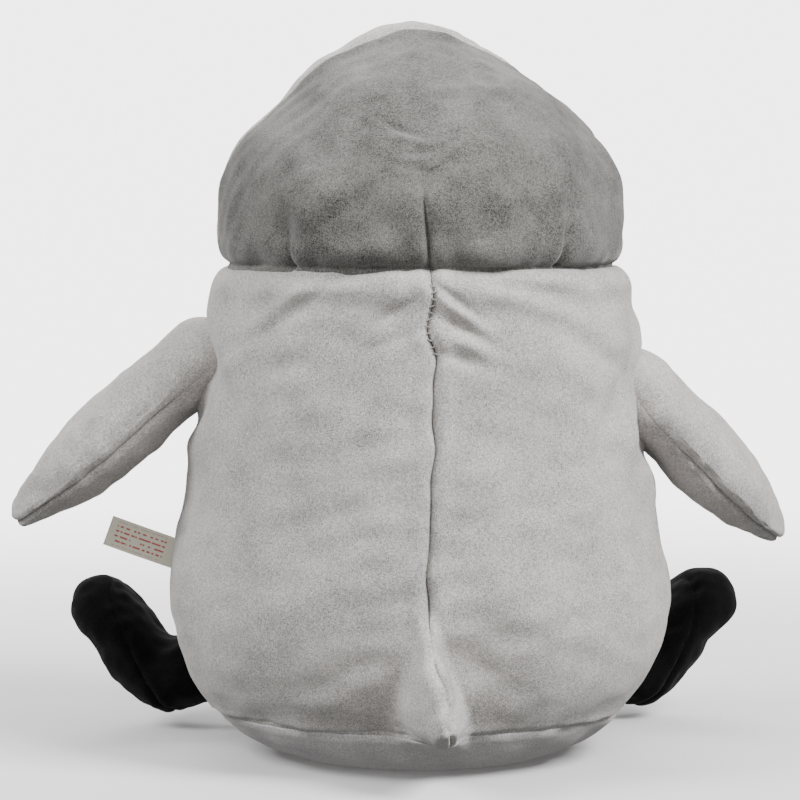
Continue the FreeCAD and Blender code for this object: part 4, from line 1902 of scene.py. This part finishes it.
# ---- label --------------------------------------------------------------
@dataclass
class CareLabel:
    """A ribbon folded double, whose two ends are sewn into the side seam."""

    wardrobe: Wardrobe
    width: float = 15.5 * MM
    hidden: float = 3.0 * MM
    loop: float = 0.7 * MM
    sag: float = 1.6 * MM

    def build(self) -> None:
        """Builds, dresses and places the label."""
        flap = joint("label_flap")
        root, hinge = np.array(flap["pos_m"]), np.array(flap["axis"])
        along = np.cross(np.array([0.0, 1.0, 0.0]), hinge)
        points = CadProbe(["care_label"]).points
        length = float(((points - root) @ along).max()) - 0.3 * MM
        outbound = np.linspace(-self.hidden, length, 46)
        reach = np.concatenate([outbound, np.linspace(length, -self.hidden, 46)])
        share = np.clip(reach / length, 0, 1)
        side = np.concatenate([np.ones(46), -np.ones(46)])
        bulge = self.loop * np.clip(share, 0, 1) * np.sqrt(np.clip(1 - share**6, 0, 1)) + 0.16 * MM
        curl = self.sag * np.sin(share * np.pi) * 0.6 + 1.1 * MM * share**3
        across = np.linspace(-0.5, 0.5, 19)
        middle = root + reach[:, None, None] * along
        depth = (side * bulge)[:, None] + curl[:, None] + 0.5 * MM * (share[:, None] * (2 * across) ** 2)
        grid = middle + (across * self.width)[None, :, None] * hinge
        grid = grid + depth[..., None] * np.array([0.0, 1.0, 0.0])
        rows, cols = grid.shape[:2]
        piece = make_piece("care_ribbon", grid, grid_faces(rows, cols, wrap=False))
        sheet = piece.data.uv_layers.new(name="ribbon")
        for loop in piece.data.loops:
            row, col = divmod(loop.vertex_index, cols)
            sheet.data[loop.index].uv = (share[row], col / (cols - 1))
        self.wardrobe.dress(piece, Finish.RIBBON)
        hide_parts("care_label")
        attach(piece, "label")
        LOG.info("care_ribbon rides on the label's hinge")


# ---- studio -------------------------------------------------------------
@dataclass
class Studio:
    """A pale floor, soft light and the camera."""

    distance: float = 1.5
    camera_rise: float = 4.0
    target: tuple[float, float, float] = (0.010, 0.0, 0.179)
    frame_width: float = 0.406
    ambient: float = 0.46
    under_light: float = 0.2
    backdrop: float = 4.0

    def build(self) -> None:
        """Sets up the floor, the room's light, the lamps and the camera."""
        self.floor()
        self.room()
        self.light("key", (-1.4, 0.9, 1.6), 0.9, 82.0)
        self.light("side", (1.5, 0.5, 1.4), 0.8, 34.0)
        self.light("fill", (0.5, 1.9, 0.9), 1.0, 7.0)
        self.light("front", (0.3, -1.6, 1.1), 1.4, 32.0)
        self.camera()

    def room(self) -> None:
        """A white room that is brighter behind the toy than the light that it gives."""
        world = bpy.data.worlds.new("white_room")
        world.use_nodes = True
        tree = world.node_tree
        ray = tree.nodes.new("ShaderNodeLightPath")
        strength = tree.nodes.new("ShaderNodeMath")
        strength.operation = "MULTIPLY_ADD"
        way = tree.nodes.new("ShaderNodeTexCoord")
        parts = tree.nodes.new("ShaderNodeSeparateXYZ")
        height = tree.nodes.new("ShaderNodeMapRange")
        height.inputs["From Min"].default_value = -0.5
        height.inputs["From Max"].default_value = 0.5
        height.inputs["To Min"].default_value = self.under_light
        height.inputs["To Max"].default_value = self.ambient
        tree.links.new(way.outputs["Generated"], parts.inputs[0])
        tree.links.new(parts.outputs["Z"], height.inputs["Value"])
        tree.links.new(ray.outputs["Is Camera Ray"], strength.inputs[0])
        strength.inputs[1].default_value = self.backdrop
        tree.links.new(height.outputs["Result"], strength.inputs[2])
        tree.links.new(strength.outputs[0], tree.nodes["Background"].inputs["Strength"])
        tree.nodes["Background"].inputs["Color"].default_value = (1.0, 1.0, 1.0, 1.0)
        bpy.context.scene.world = world

    def floor(self) -> None:
        """A wide pale floor."""
        size = 3.0
        corners = np.array([[-size, -size, 0], [size, -size, 0], [size, size, 0], [-size, size, 0]])
        floor = make_piece("floor", corners, [(0, 1, 2, 3)])
        shader = Shader("pale_floor")
        settings = {"operation": "LENGTH"}
        place = shader.node("ShaderNodeVectorMath", settings, {0: shader.place()}, out="Value")
        shown = shader.node(
            "ShaderNodeMapRange",
            {"interpolation_type": "SMOOTHERSTEP"},
            {"Value": place, "From Min": 0.15, "From Max": 1.5, "To Min": 1.0, "To Max": 0.0},
        )
        shader.finish(Base_Color=(0.86, 0.86, 0.86, 1.0), Roughness=0.9, Specular_IOR_Level=0.05)
        shader.finish(Alpha=shown)
        floor.data.materials.append(shader.material)
        floor.visible_diffuse = False

    def light(self, name: str, place: tuple[float, float, float], size: float, power: float) -> None:
        """A square soft light that points at the toy.

        Args:
            name: the lamp's name.
            place: where the lamp is.
            size: the lamp's width.
            power: its power in watts.
        """
        lamp = bpy.data.lights.new(name, "AREA")
        lamp.shape, lamp.size, lamp.energy = "SQUARE", size, power
        holder = bpy.data.objects.new(name, lamp)
        holder.location = place
        way = Vector(self.target) - Vector(place)
        holder.rotation_euler = way.to_track_quat("-Z", "Y").to_euler()
        bpy.context.scene.collection.objects.link(holder)

    def camera(self) -> None:
        """The camera, straight behind the toy and a little above its middle."""
        lens = bpy.data.cameras.new("camera")
        lens.angle = 2 * math.atan(self.frame_width / 2 / self.distance)
        lens.dof.use_dof = False
        holder = bpy.data.objects.new("camera", lens)
        rise = math.radians(self.camera_rise)
        offset = Vector((0.0, math.cos(rise), math.sin(rise))) * self.distance
        holder.location = Vector(self.target) + offset
        holder.rotation_euler = (-offset).to_track_quat("-Z", "Y").to_euler()
        bpy.context.scene.collection.objects.link(holder)
        bpy.context.scene.camera = holder


def main() -> None:
    """Builds the studio, then the toy's pieces in order."""
    logging.basicConfig(level=logging.INFO, format="%(message)s")
    wardrobe = Wardrobe()
    Studio().build()
    Body(wardrobe).build()
    Head(wardrobe).build()
    for side in ("left", "right"):
        Wing(wardrobe, side).build()
        Foot(wardrobe, side).build()
    CareLabel(wardrobe).build()


if __name__ == "__main__":
    main()
